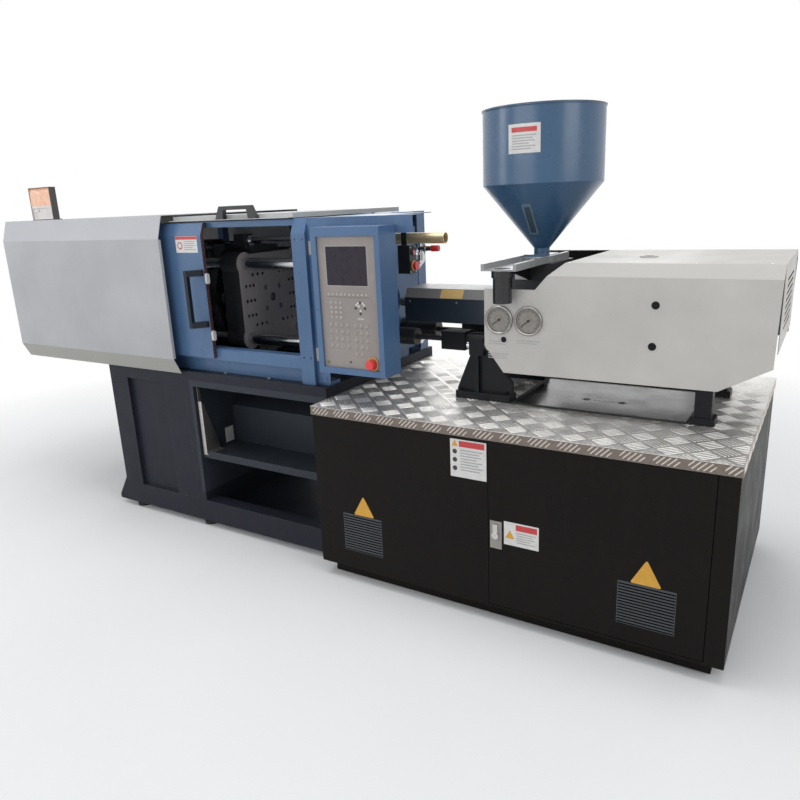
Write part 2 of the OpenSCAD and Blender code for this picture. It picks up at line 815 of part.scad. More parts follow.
// Swinging control box with its front opening and hinge barrels
module control_box() {
    x1 = box_x + box_w;
    y1 = box_y + box_t;
    color("#42689a") {
        difference() {
            span([box_x, box_y, box_z], [x1, y1 - 3, box_z + box_h]);
            span([box_x + 2, box_y + 14, box_z + 2], [x1 - 2, y1 - 5, box_z + box_h - 2]);
            span([box_x + 24, box_y - 1, box_z + 24], [x1 - 22, box_y + 15, box_z + box_h - 34]);
            // cable gland hole at the bottom
            translate([box_x + 220, box_y + 70, box_z - 1]) cylinder(r = 16, h = 5);
        }
        for (z = box_hinges)
            difference() {
                union() {
                    translate([240, -424, z + 16.4]) cylinder(r = 8, h = 29.4);
                    span([240, -432, z + 16.4], [box_x, -424, z + 45.8]);
                }
                translate([240, -424, z + 15]) cylinder(r = 4 + fit, h = 32);
            }
    }
}

// Grey panel with its display, keys and the ring of the stop button
module control_panel() {
    x0 = box_x + 24;
    x1 = box_x + box_w - 22;
    z0 = box_z + 24;
    z1 = box_z + box_h - 34;
    y = box_y + 9;
    color("#a29b92") {
        difference() {
            span([x0, y, z0], [x1, y + 5, z1]);
            span([x0 + 33, y - 1, z1 - 181], [x1 - 38, y + 2, z1 - 33]);
            translate([x1 - stop_in, y - 1, z0 + stop_up]) rotate([-90, 0, 0]) cylinder(r = 9 + fit, h = 8);
        }
        // display glass in its recess
        span([x0 + 33, y + 0.4, z1 - 181], [x1 - 38, y + 2, z1 - 33]);
        // function keys under the display
        for (i = [0:9])
            span([x0 + 34 + i * 19, y - 1, z1 - 215], [x0 + 44 + i * 19, y, z1 - 207]);
        // number keys
        for (i = [0:2])
            for (j = [0:3])
                span([x0 + 43 + i * 21, y - 1, z1 - 249 - j * 18],
                    [x0 + 43 + key + i * 21, y, z1 - 249 + key - j * 18]);
        // arrow keys
        for (a = [0:90:270])
            translate([x0 + 180, y, z1 - 260]) rotate([90, 0, 0]) rotate([0, 0, a])
                translate([20.5, 0, 0]) cylinder(r = 5.5, h = 1);
        // operation keys, in a block of four columns and one of three
        for (i = [0:6])
            for (j = [0:4])
                if (j < 4 || i == 4 || i == 5) {
                    kx = x0 + 36 + i * 25.5 + (i > 3 ? 11 : 0);
                    kz = z1 - 330.5 - j * 27;
                    span([kx, y - 1, kz], [kx + key, y, kz + key]);
                }
        // ring of the stop button
        difference() {
            translate([x1 - stop_in, y, z0 + stop_up]) rotate([90, 0, 0]) cylinder(r = 24, h = 3);
            translate([x1 - stop_in, y + 1, z0 + stop_up]) rotate([90, 0, 0]) cylinder(r = 9 + fit, h = 5);
        }
    }
}

// Emergency stop on the control panel
module e_stop_button() {
    x1 = box_x + box_w - 22;
    z0 = box_z + 24;
    y = box_y + 9;
    color("#cf2228")
        translate([x1 - stop_in, y, z0 + stop_up]) rotate([90, 0, 0]) {
            translate([0, 0, -4]) cylinder(r = 9, h = 14);
            translate([0, 0, 10]) cylinder(r1 = 20, r2 = 17, h = 18);
        }
}

// Hinged door of the right bay
module cabinet_door() {
    hy = cabinet_d / 2;
    z0 = 73;
    z1 = door_top;
    latch = [seam_x + 32, latch_z];
    color("#37332f") {
        difference() {
            union() {
                span([seam_x + 3, -hy, z0], [door_x1, -hy + 2, z1]);
                difference() {
                    span([seam_x + 6, -hy, z0 + 2], [door_x1 - 4, -hy + 20, z1 - 2]);
                    span([seam_x + 8, -hy - 1, z0 + 4], [door_x1 - 6, -hy + 21, z1 - 4]);
                }
            }
            louvres(1438, 1617, 137, 288, -hy - 1, -hy + 3, 14);
            // hole of the latch
            translate([latch[0], -hy - 1, latch[1]]) rotate([-90, 0, 0]) cylinder(r = 8 + fit, h = 4);
        }
        // latch dish on the door
        difference() {
            span([latch[0] - 22, -hy - 3, latch[1] - 52], [latch[0] + 22, -hy, latch[1] + 53]);
            translate([latch[0], -hy - 4, latch[1]]) rotate([-90, 0, 0]) cylinder(r = 8 + fit, h = 5);
        }
        // pivot pins in their corner blocks
        for (z = [z0 + 2, z1 - 32])
            span([door_pin_x - 7, -hy + 2, z], [door_pin_x, -hy + 16, z + 30]);
        translate([door_pin_x, door_pin_y, z0 - 7]) cylinder(r = 3, h = 20);
        translate([door_pin_x, door_pin_y, z1 - 10]) cylinder(r = 3, h = 20);
    }
}

// Turning latch of the door
module door_latch() {
    hy = cabinet_d / 2;
    color("#c6c9cc")
        translate([seam_x + 32, -hy + 14, latch_z]) rotate([90, 0, 0]) {
            cylinder(r = 8, h = 24);
            // cam behind the frame
            translate([0, 0, 0]) cylinder(r = 12, h = 6);
            // lever in front of the dish
            translate([-9, -9, 17.2]) cube([18, 52, 7]);
            translate([0, 0, 17.2]) cylinder(r = 13, h = 9);
        }
}

// Rear link: two plates with eyes, joined by their pins
module rear_link(s) {
    a = [tail_pin_x, axis_z + s * pin_h];
    b = [elbow_x, axis_z + s * elbow_h];
    color("#50545a") {
        difference() {
            for (y0 = [-92, 62])
                link_plate(a, b, 27, y0, y0 + 30);
            pin_y(cross_r + fit, 95, cross_pin_x, axis_z + s * cross_h);
        }
        pin_y(pin_r, 122, a[0], a[1]);
        pin_y(pin_r, 122, b[0], b[1]);
        // spacer tubes between the plates, clear of the cross link
        for (y0 = [-62, 40])
            translate([b[0], y0 + 22, b[1]]) rotate([90, 0, 0]) cylinder(r = 24, h = 22);
    }
}

// Front link: two outer plates
module front_link(s) {
    a = [elbow_x, axis_z + s * elbow_h];
    b = [front_pin_x, axis_z + s * pin_h];
    color("#50545a") {
        difference() {
            for (y0 = [-122, 96])
                link_plate(a, b, 26, y0, y0 + 26);
            pin_y(pin_r + fit, 125, a[0], a[1]);
        }
        // pin through the platen lugs, carried by the upper link only
        if (s > 0)
            pin_y(pin_r, 122, b[0], b[1]);
        else
            for (y0 = [-122, 96])
                translate([b[0], y0 + 26, b[1]]) rotate([90, 0, 0]) cylinder(r = pin_r, h = 26);
    }
}

module upper_rear_link() {
    rear_link(1);
}

module lower_rear_link() {
    rear_link(-1);
}

module upper_front_link() {
    front_link(1);
}

module lower_front_link() {
    front_link(-1);
}

// Cross link between the rear link and the crosshead
module cross_link(s) {
    a = [cross_pin_x, axis_z + s * cross_h];
    b = [cross_x, axis_z + s * pin_h];
    open_pin = s < 0 ? 1.0 : 0;
    color("#6b7076") {
        difference() {
            for (y0 = [-56, 30])
                link_plate(a, b, 19, y0, y0 + 26);
            pin_y(cross_r + fit + open_pin, 60, b[0], b[1]);
        }
        pin_y(cross_r, 92, a[0], a[1]);
    }
}

module upper_cross_link() {
    cross_link(1);
}

module lower_cross_link() {
    cross_link(-1);
}

// Crosshead with its two arms and the piston rod
module crosshead() {
    x = cross_x;
    color("#5a5f66") {
        span([x - 109, -40, axis_z - 40], [x - 30, 40, axis_z + 40]);
        for (s = [-1, 1]) {
            crosshead_arm(s);
            pin_y(cross_r, 56, x, axis_z + s * pin_h);
        }
        rod_x(22, x - 430, x - 109, 0, axis_z);
    }
}

// One arm of the crosshead: from its pin down between the paths of the cross pin and the
// elbow pin, then back to the block. Points are measured from the pin towards the axis.
module crosshead_arm(s) {
    x = cross_x;
    plate_xz([for (p = [[-13, -16], [13, -16], [16, 60], [16, 95], [2, 145], [-32, 190], [-32, 206],
        [-96, 206],
        [-96, 180], [-62, 150], [-10.5, 97], [-10.5, 40], [-13, 10]])
        [x + p[0], axis_z + s * (pin_h - p[1])]], -26, 26);
}

// Moving platen with bolt holes, ejector bores and toggle lugs
module moving_platen() {
    x0 = mould_face_x - platen_t;
    x1 = mould_face_x;
    color("#3a3d43") {
        difference() {
            union() {
                platen_blank(x0, x1, 218, 54, tie_r + fit);
                // humps and lugs of the front pins
                for (sz = [-1, 1]) {
                    span([x0, -100, axis_z + sz * pin_h - 32], [x1 - 30, 100, axis_z + sz * pin_h + 32]);
                    for (sy = [-1, 1]) {
                        span([front_pin_x, sy * 77 - 15, axis_z + sz * pin_h - 28],
                            [x0 + 1, sy * 77 + 15, axis_z + sz * pin_h + 28]);
                        translate([front_pin_x, sy * 77 + 15, axis_z + sz * pin_h])
                            rotate([90, 0, 0]) cylinder(r = 28, h = 30);
                    }
                }
                // seat of the safety bar
                span([x0, safety_y - 30, axis_z + 240], [x0 + 70, safety_y + 30, safety_z + 30]);
                // twin ejector cylinders let into the back
                for (s = [-1, 1])
                    rod_x(28, x0 - 40, x0, s * 100, axis_z);
            }
            // upper pin runs in its lugs, the lower one has clearance
            pin_y(pin_r + fit, 130, front_pin_x, axis_z + pin_h);
            pin_y(pin_r + 1.5, 130, front_pin_x, axis_z - pin_h);
            rod_x(15, x0 - 1, x0 + 71, safety_y, safety_z);
            rod_x(25, x0 + 70, x1 + 1, safety_y, safety_z);
            rod_x(20, x0 - 1, x1 + 1, 0, axis_z);
            for (s = [-1, 1])
                rod_x(9 + fit, x0 - 41, x1 - 20, s * 100, axis_z);
            // square of ejector bores and the rows of mould bolt holes
            for (sy = [-1, 1])
                for (sz = [-1, 1]) {
                    rod_x(12, x0 - 1, x1 + 1, sy * 50, axis_z + sz * 50);
                    for (i = [0:2]) {
                        rod_x(8, x1 - 35, x1 + 1, sy * (130 + i * 25), axis_z + sz * 70);
                        rod_x(8, x1 - 35, x1 + 1, sy * (60 + i * 35), axis_z + sz * 120);
                    }
                }
            for (sy = [-1, 1])
                for (i = [0:2])
                    rod_x(8, x1 - 35, x1 + 1, sy * (130 + i * 25), axis_z);
        }
    }
}

// Ejector plate with its pushing rods
module ejector_plate() {
    x0 = mould_face_x - platen_t - 116;
    color("#8b8f94") {
        span([x0, -125, axis_z - 22], [x0 + 14, 125, axis_z + 22]);
        span([x0, -64, axis_z - 64], [x0 + 14, 64, axis_z + 64]);
        for (sy = [-1, 1])
            for (sz = [-1, 1])
                rod_x(9, x0 + 14, mould_face_x - 4, sy * 50, axis_z + sz * 50);
        rod_x(14, x0 + 14, mould_face_x - 6, 0, axis_z);
        for (s = [-1, 1])
            rod_x(9, x0 + 14, mould_face_x - 100, s * 100, axis_z);
    }
}

// Notched drop bar of the mechanical mould safety
module safety_bar() {
    x0 = mould_face_x - platen_t;
    pitch = 34;
    color("#c3c6c9")
        difference() {
            union() {
                rod_x(15, x0, 235, safety_y, safety_z);
                rod_x(24, x0 + 70, x0 + 86, safety_y, safety_z);
            }
            for (i = [0:12])
                translate([-220 + i * pitch, safety_y - 16, safety_z + 7])
                    rotate([0, -28, 0]) cube([16, 32, 20]);
        }
}

// Cast carriage: feed throat, cross beams and side bars
module throat_block() {
    z0 = 915;
    hy = 235;
    post_y = hood_y - 53;
    color("#3c4046") {
        difference() {
            union() {
                span([885, -130, 1000], [1050, 130, 1200]);
                span([975, -hy, z0], [1050, hy, 1000]);
                span([888, -126, 1200], [1046, 126, slide_z]);
                // side bars and rear beam
                for (s = [-1, 1])
                    span([1050, s * 150 - 18, z0], [1490, s * 150 + 18, z0 + 32]);
                span([1490, -hy, z0], [1550, hy, 990]);
            }
            translate([hopper_x, 0, axis_z]) cylinder(r = 25, h = slide_z - axis_z + 1);
            rod_x(45, 884, 1051, 0, axis_z);
            for (s = [-1, 1]) {
                rod_x(rod_r + fit, 970, 1055, s * rod_y, rod_z);
                rod_x(rod_r + fit, 1485, 1555, s * rod_y, rod_z);
            }
        }
        // posts that carry the covers
        for (s = [-1, 1]) {
            span([1000, s * post_y - 47, 950], [1040, s * post_y + 47, 990]);
            span([1500, s * post_y - 47, 950], [1540, s * post_y + 47, 990]);
        }
    }
}

// Barrel with its nozzle and heater bands
module barrel() {
    tip = 310;
    color("#8d7f70")
        difference() {
            union() {
                rod_x(42, 430, 885, 0, axis_z);
                rod_x(45, 885, 1050, 0, axis_z);
                translate([360, 0, axis_z]) rotate([0, 90, 0]) cylinder(r1 = 22, r2 = 34, h = 70);
                rod_x(18, tip + 12, 360, 0, axis_z);
                translate([tip, 0, axis_z]) rotate([0, 90, 0]) cylinder(r1 = 8, r2 = 18, h = 12);
                for (x = [445, 545, 645, 745])
                    rod_x(52, x, x + 80, 0, axis_z);
            }
            rod_x(20 + fit, 440, 1051, 0, axis_z);
            rod_x(4, tip - 1, 441, 0, axis_z);
            translate([hopper_x, 0, axis_z]) cylinder(r = 25, h = 60);
        }
}

// Folded guard over the barrel
module barrel_guard() {
    w = 100;
    t = 2;
    color("#2b3240") {
        extrude_x([[-w, 1016], [-w, 1114], [-w + 22, 1152], [w - 22, 1152], [w, 1114], [w, 1016],
            [w - t, 1016], [w - t, 1114 - t], [w - 22 - t, 1152 - t], [-w + 22 + t, 1152 - t],
            [-w + t, 1114 - t], [-w + t, 1016]], 396, 885);
    }
}

// Outline of the injection cover side, seen from the operator
function hood_outline(feed_gap) = concat(
    [[871, 987]],
    feed_gap ? [[871, 1192], [1061, 1192], [1104, 1240]] : [[871, 1240]],
    [[hood_x1, 1240], [hood_x1 - 5, 975], [1660, 892], [945, 890]]
);

// One side of the injection cover, with its folded top edge
module hood_side(feed_gap) {
    t = 2;
    y0 = -hood_y;
    plate_xz(hood_outline(feed_gap), y0, y0 + t);
    // fold towards the top, cut back beside the drain chute
    difference() {
        extrude_x([[y0, 1240], [y0 + 50, 1280], [y0 + 70, 1280], [y0 + 70, 1280 - t], [y0 + 50 + t, 1280 - t],
            [y0 + t, 1240]], feed_gap ? 1104 : 871, hood_x1);
        if (feed_gap)
            translate([1104, y0 - 1, 1239.9]) rotate([0, 49, 0]) translate([-90, 0, -100])
                cube([90, 80, 200]);
    }
    // stays to the carriage
    span([1010, y0 + t, 955], [1030, y0 + 6, 985]);
    span([1510, y0 + t, 955], [1530, y0 + 6, 985]);
}

// Operator side of the white injection cover
module injection_cover_front() {
    color("#cfcdc7")
        difference() {
            hood_side(true);
            // holes of the gauges, the indicator and the plugs
            for (x = [929, 1039])
                translate([x, -hood_y - 1, gauge_z]) rotate([-90, 0, 0]) cylinder(r = 44, h = 4);
            translate([946, -hood_y - 1, 1012]) rotate([-90, 0, 0]) cylinder(r = 9, h = 4);
            for (p = [[1462, 1154], [1458, 1021]])
                translate([p[0], -hood_y - 1, p[1]]) rotate([-90, 0, 0]) cylinder(r = 11, h = 4);
        }
}

// Rear side of the injection cover
module injection_cover_rear() {
    color("#cfcdc7") mirror([0, 1, 0]) hood_side(false);
}

// Top and end sheets of the injection cover
module injection_cover_top() {
    hy = hood_y - 70;
    color("#cfcdc7") {
        difference() {
            span([1152, -hy, 1278], [hood_x1, hy, 1280]);
            translate([1373, -52, 1270]) cylinder(r = 26, h = 20);
        }
        difference() {
            span([hood_x1 - 2, -hood_y + 53, 1010], [hood_x1, hood_y - 53, 1278]);
            for (i = [0:7])
                span([hood_x1 - 3, -150, 1060 + i * 22], [hood_x1 + 1, 150, 1070 + i * 22]);
        }
        // cable grommet in the top
        translate([1373, -52, 1280])
            difference() {
                cylinder(r = 30, h = 4);
                translate([0, 0, -1]) cylinder(r = 20, h = 6);
            }
    }
}

// Cases of the two pressure gauges
module pressure_gauges() {
    color("#b9bab8")
        for (x = [929, 1039])
            translate([x, -hood_y, gauge_z]) rotate([90, 0, 0])
                difference() {
                    union() {
                        translate([0, 0, -40]) cylinder(r = 40, h = 40);
                        cylinder(r = 52, h = 6);
                        translate([0, 0, -58]) cylinder(r = 8, h = 18);
                    }
                    translate([0, 0, 2]) cylinder(r = 45, h = 10);
                    translate([0, 0, -2]) cylinder(r = 3 + fit, h = 10);
                }
}

// Needle of a pressure gauge
module gauge_needle(x, a) {
    color("#17181a")
        translate([x, -hood_y - 2.6, gauge_z]) rotate([90, 0, 0]) rotate([0, 0, a]) {
            translate([0, 0, -3]) cylinder(r = 3, h = 4.4);
            translate([-9, -1.4, 0]) cube([42, 2.8, 1.2]);
            cylinder(r = 5, h = 1.6);
        }
}

module gauge_needle_left() {
    gauge_needle(929, 215);
}

module gauge_needle_right() {
    gauge_needle(1039, 218);
}

// Injection cylinders beside the barrel and carriage cylinders under it
module hydraulic_cylinders() {
    color("#2a2d31")
        for (s = [-1, 1]) {
            difference() {
                union() {
                    rod_x(40, 1050, 1280, s * 88, axis_z);
                    span([1250, s * 88 - 42, axis_z - 42], [1280, s * 88 + 42, axis_z + 42]);
                }
                rod_x(18 + fit, 1060, 1281, s * 88, axis_z);
            }
            difference() {
                union() {
                    span([583, s * carriage_rod_y - 37, rod_z - 37],
                        [690, s * carriage_rod_y + 37, rod_z + 37]);
                    rod_x(33, 690, 975, s * carriage_rod_y, rod_z);
                }
                rod_x(11 + fit, 582, 900, s * carriage_rod_y, rod_z);
            }
        }
}

// Drive plate with the piston rods and the hydraulic motor
module drive_plate() {
    color("#34404a") {
        difference() {
            span([1412, -140, axis_z - 62], [1462, 140, axis_z + 62]);
            rod_x(16 + fit, 1411, 1463, 0, axis_z);
        }
        for (s = [-1, 1])
            rod_x(18, 1150, 1412, s * 88, axis_z);
        difference() {
            rod_x(60, 1462, 1600, 0, axis_z);
            rod_x(16 + fit, 1461, 1500, 0, axis_z);
        }
        span([1520, -40, axis_z + 52], [1580, 40, axis_z + 90]);
    }
}

// Plasticising screw with its flights and drive shank
module screw() {
    pitch = 40;
    color("#a8acb0") {
        translate([442, 0, axis_z]) rotate([0, 90, 0]) cylinder(r1 = 4, r2 = 13, h = 13);
        rod_x(13, 455, 1100, 0, axis_z);
        // flights, each set at the helix angle
        for (i = [0:15])
            translate([475 + i * pitch, 0, axis_z]) rotate([0, 90, 16])
                cylinder(r = 19, h = 4, center = true);
        rod_x(15, 1100, 1300, 0, axis_z);
        rod_x(24, 1300, 1411.5, 0, axis_z);
        rod_x(16, 1411.5, 1495, 0, axis_z);
    }
}

// Slide base of the hopper with its drain chute
module hopper_slide_base() {
    color("#aeb2b5") {
        difference() {
            span([hopper_x - 65, -415, slide_z], [hopper_x + 65, 130, slide_z + 24]);
            span([hopper_x - 53, -416, slide_z + 6], [hopper_x + 53, 131, slide_z + 25]);
            translate([hopper_x, 0, slide_z - 1]) cylinder(r = 25, h = 10);
            translate([hopper_x, chute_y, slide_z - 1]) cylinder(r = 30, h = 10);
        }
        // drain chute
        difference() {
            union() {
                translate([hopper_x, chute_y, slide_z - 24]) cylinder(r = 38, h = 24);
                translate([hopper_x, chute_y, slide_z - 112]) cylinder(r = 33, h = 90);
            }
            translate([hopper_x, chute_y, slide_z - 113]) cylinder(r = 30, h = 114);
        }
        // gusset under the overhang, down to the throat block
        extrude_x([[-126, slide_z - 61], [-126, slide_z], [-312, slide_z], [-300, slide_z - 14]],
            hopper_x - 4, hopper_x + 4);
    }
}

// Sliding plate under the hopper
module hopper_slide_plate() {
    color("#8f9397")
        difference() {
            span([hopper_x - 52.6, -70, slide_z + 6.1], [hopper_x + 52.6, 128, slide_z + 18]);
            translate([hopper_x, 0, slide_z]) cylinder(r = 25, h = 25);
        }
}

// Sheet hopper with a cone, neck, flange and sight slot
module hopper() {
    z0 = slide_z + 18;
    t = 2.5;
    r = hopper_r;
    color("#46698f") {
        difference() {
            translate([hopper_x, 0, 0]) rotate_extrude($fn = 96)
                polygon([[27.5, z0], [neck_r, z0], [neck_r, neck_z], [r, cone_z], [r, hopper_z - 6],
                    [r + 3, hopper_z - 3],
                    [r + 3, hopper_z], [r - t, hopper_z], [r - t, cone_z + 1], [27.5, neck_z + 1]]);
            // sight slot in the cone
            sight_frame() translate([-11, -16, 8]) cube([22, 40, 124]);
        }
        difference() {
            span([hopper_x - 52, -52, z0], [hopper_x + 52, 52, z0 + 8]);
            translate([hopper_x, 0, z0 - 1]) cylinder(r = 27.5, h = 10);
        }
        // hinge lugs of the lid
        for (x = [hopper_x - 30, hopper_x + 18])
            difference() {
                union() {
                    span([x, r - 4, hopper_z - 28], [x + 12, r + 22, hopper_z - 6]);
                    rod_x(8, x, x + 12, r + 14, hopper_z - 2);
                }
                rod_x(4 + fit, x - 1, x + 13, r + 14, hopper_z - 2);
                translate([hopper_x, 0, hopper_z - 30]) cylinder(r = r, h = 40, $fn = 96);
            }
        // frame of the sight window
        sight_frame() difference() {
            translate([-17, -4, 0]) cube([34, 6, 140]);
            translate([-11, -5, 8]) cube([22, 9, 124]);
        }
    }
}

// Place on the cone of the sight window, along the slope of the cone
module sight_frame() {
    slope = atan2(hopper_r - neck_r, cone_z - neck_z);
    foot = 55;
    translate([hopper_x, -neck_r - foot * tan(slope), neck_z + foot]) rotate([slope, 0, 0]) children();
}

// Lid of the hopper
module hopper_lid() {
    r = hopper_r + 3;
    color("#39506e") {
        translate([hopper_x, 0, hopper_z]) {
            cylinder(r = r, h = 2.5, $fn = 96);
            translate([0, 0, 2.5]) cylinder(r = r - 16, h = 2, $fn = 96);
        }
        // hinge barrel and strap
        difference() {
            union() {
                translate([hopper_x - 17, hopper_r - 10, hopper_z]) cube([34, 24, 4]);
                rod_x(7, hopper_x - 17.6, hopper_x + 17.6, hopper_r + 14, hopper_z - 2);
            }
            translate([hopper_x - 20, hopper_r - 30, hopper_z - 12]) cube([40, 34, 12]);
        }
        rod_x(4, hopper_x - 30, hopper_x + 30, hopper_r + 14, hopper_z - 2);
    }
}

clamp_base();
drop_chute();
machine_feet();
cabinet_frame();
deck_plate();
drip_tray();
power_pack();
electrical_plate();
tail_platen();
stationary_platen();
tie_bars();
safety_bar_sleeve();
clamp_cover_front();
clamp_cover_rear();
clamp_cover_top();
beacon_lamp();
gate_frame();
housing_front();
housing_rear();
switch_box();
guide_rods();
rod_supports();
front_gate();
front_gate_window();
front_gate_handle();
rear_gate();
top_guard();
top_guard_handle();
control_box();
control_panel();
e_stop_button();
mushroom_button();
cabinet_door();
door_latch();
upper_rear_link();
upper_front_link();
lower_rear_link();
lower_front_link();
upper_cross_link();
lower_cross_link();
crosshead();
moving_platen();
ejector_plate();
safety_bar();
throat_block();
barrel();
barrel_guard();
injection_cover_front();
injection_cover_rear();
injection_cover_top();
pressure_gauges();
gauge_needle_left();
gauge_needle_right();
hydraulic_cylinders();
drive_plate();
screw();
hopper_slide_base();
hopper_slide_plate();
hopper();
hopper_lid();
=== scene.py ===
"""Looks of the injection moulding machine: materials, surface detail, light and camera."""
import json
import math

import bmesh
import bpy
from mathutils import Matrix, Vector


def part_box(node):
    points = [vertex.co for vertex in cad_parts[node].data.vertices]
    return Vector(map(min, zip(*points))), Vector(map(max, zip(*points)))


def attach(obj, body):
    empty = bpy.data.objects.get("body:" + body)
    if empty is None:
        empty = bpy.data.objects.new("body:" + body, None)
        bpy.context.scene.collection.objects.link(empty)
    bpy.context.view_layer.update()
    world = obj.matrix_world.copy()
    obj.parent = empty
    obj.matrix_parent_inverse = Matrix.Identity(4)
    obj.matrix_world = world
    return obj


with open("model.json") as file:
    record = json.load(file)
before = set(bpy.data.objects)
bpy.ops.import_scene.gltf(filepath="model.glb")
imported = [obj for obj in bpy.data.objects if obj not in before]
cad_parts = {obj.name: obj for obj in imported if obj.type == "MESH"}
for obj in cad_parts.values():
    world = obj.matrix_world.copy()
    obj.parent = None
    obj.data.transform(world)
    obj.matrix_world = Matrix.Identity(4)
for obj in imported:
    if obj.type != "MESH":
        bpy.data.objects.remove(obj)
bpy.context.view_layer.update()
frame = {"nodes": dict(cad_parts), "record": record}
nodes = frame["nodes"]
scene = bpy.context.scene

# Places and sizes below are millimetres in the machine's frame, and Blender's own are metres
MM = 0.001
RIGHT = (1, 0, 0)
REAR, OPERATOR = (0, 1, 0), (0, -1, 0)
UP = (0, 0, 1)
OPEN = (None, None, None)
BLOCK_FACES = ((0, 1, 3, 2), (4, 6, 7, 5), (0, 4, 5, 1), (2, 3, 7, 6), (0, 2, 6, 4), (1, 5, 7, 3))

# Camera: the photograph's eye point in metres, its angles, and its focal length in pixels
YAW = math.radians(32.02)
PITCH = math.radians(15.73)
ROLL = math.radians(-2.51)
FOCAL_PX = 700.5
FRAME_PX = 800
SENSOR_MM = 36.0
EYE = Vector((1.933, -2.631, 1.5))
FAR_CLIP = 60


def make_camera():
    """The camera at the photograph's eye point and angle."""
    forward = Vector((-math.sin(YAW) * math.cos(PITCH), math.cos(YAW) * math.cos(PITCH), -math.sin(PITCH)))
    right = Vector((math.cos(YAW), math.sin(YAW), 0))
    up = right.cross(forward)
    image_right = math.cos(ROLL) * right + math.sin(ROLL) * up
    image_up = -math.sin(ROLL) * right + math.cos(ROLL) * up
    data = bpy.data.cameras.new("camera")
    data.sensor_width = SENSOR_MM
    data.lens = FOCAL_PX / FRAME_PX * SENSOR_MM
    data.clip_end = FAR_CLIP
    obj = bpy.data.objects.new("camera", data)
    matrix = Matrix((image_right, image_up, -forward)).transposed().to_4x4()
    matrix.translation = EYE
    obj.matrix_world = matrix
    scene.collection.objects.link(obj)
    scene.camera = obj


make_camera()


def corners(node):
    """Lowest and highest corner of a CAD node at rest, in millimetres to the nearest tenth."""
    return [Vector([round(v / MM, 1) for v in corner]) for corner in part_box(node)]


# Shader helpers
def tint(col, k):
    """A colour made k times as light."""
    return tuple(min(1.0, c * k) for c in col)


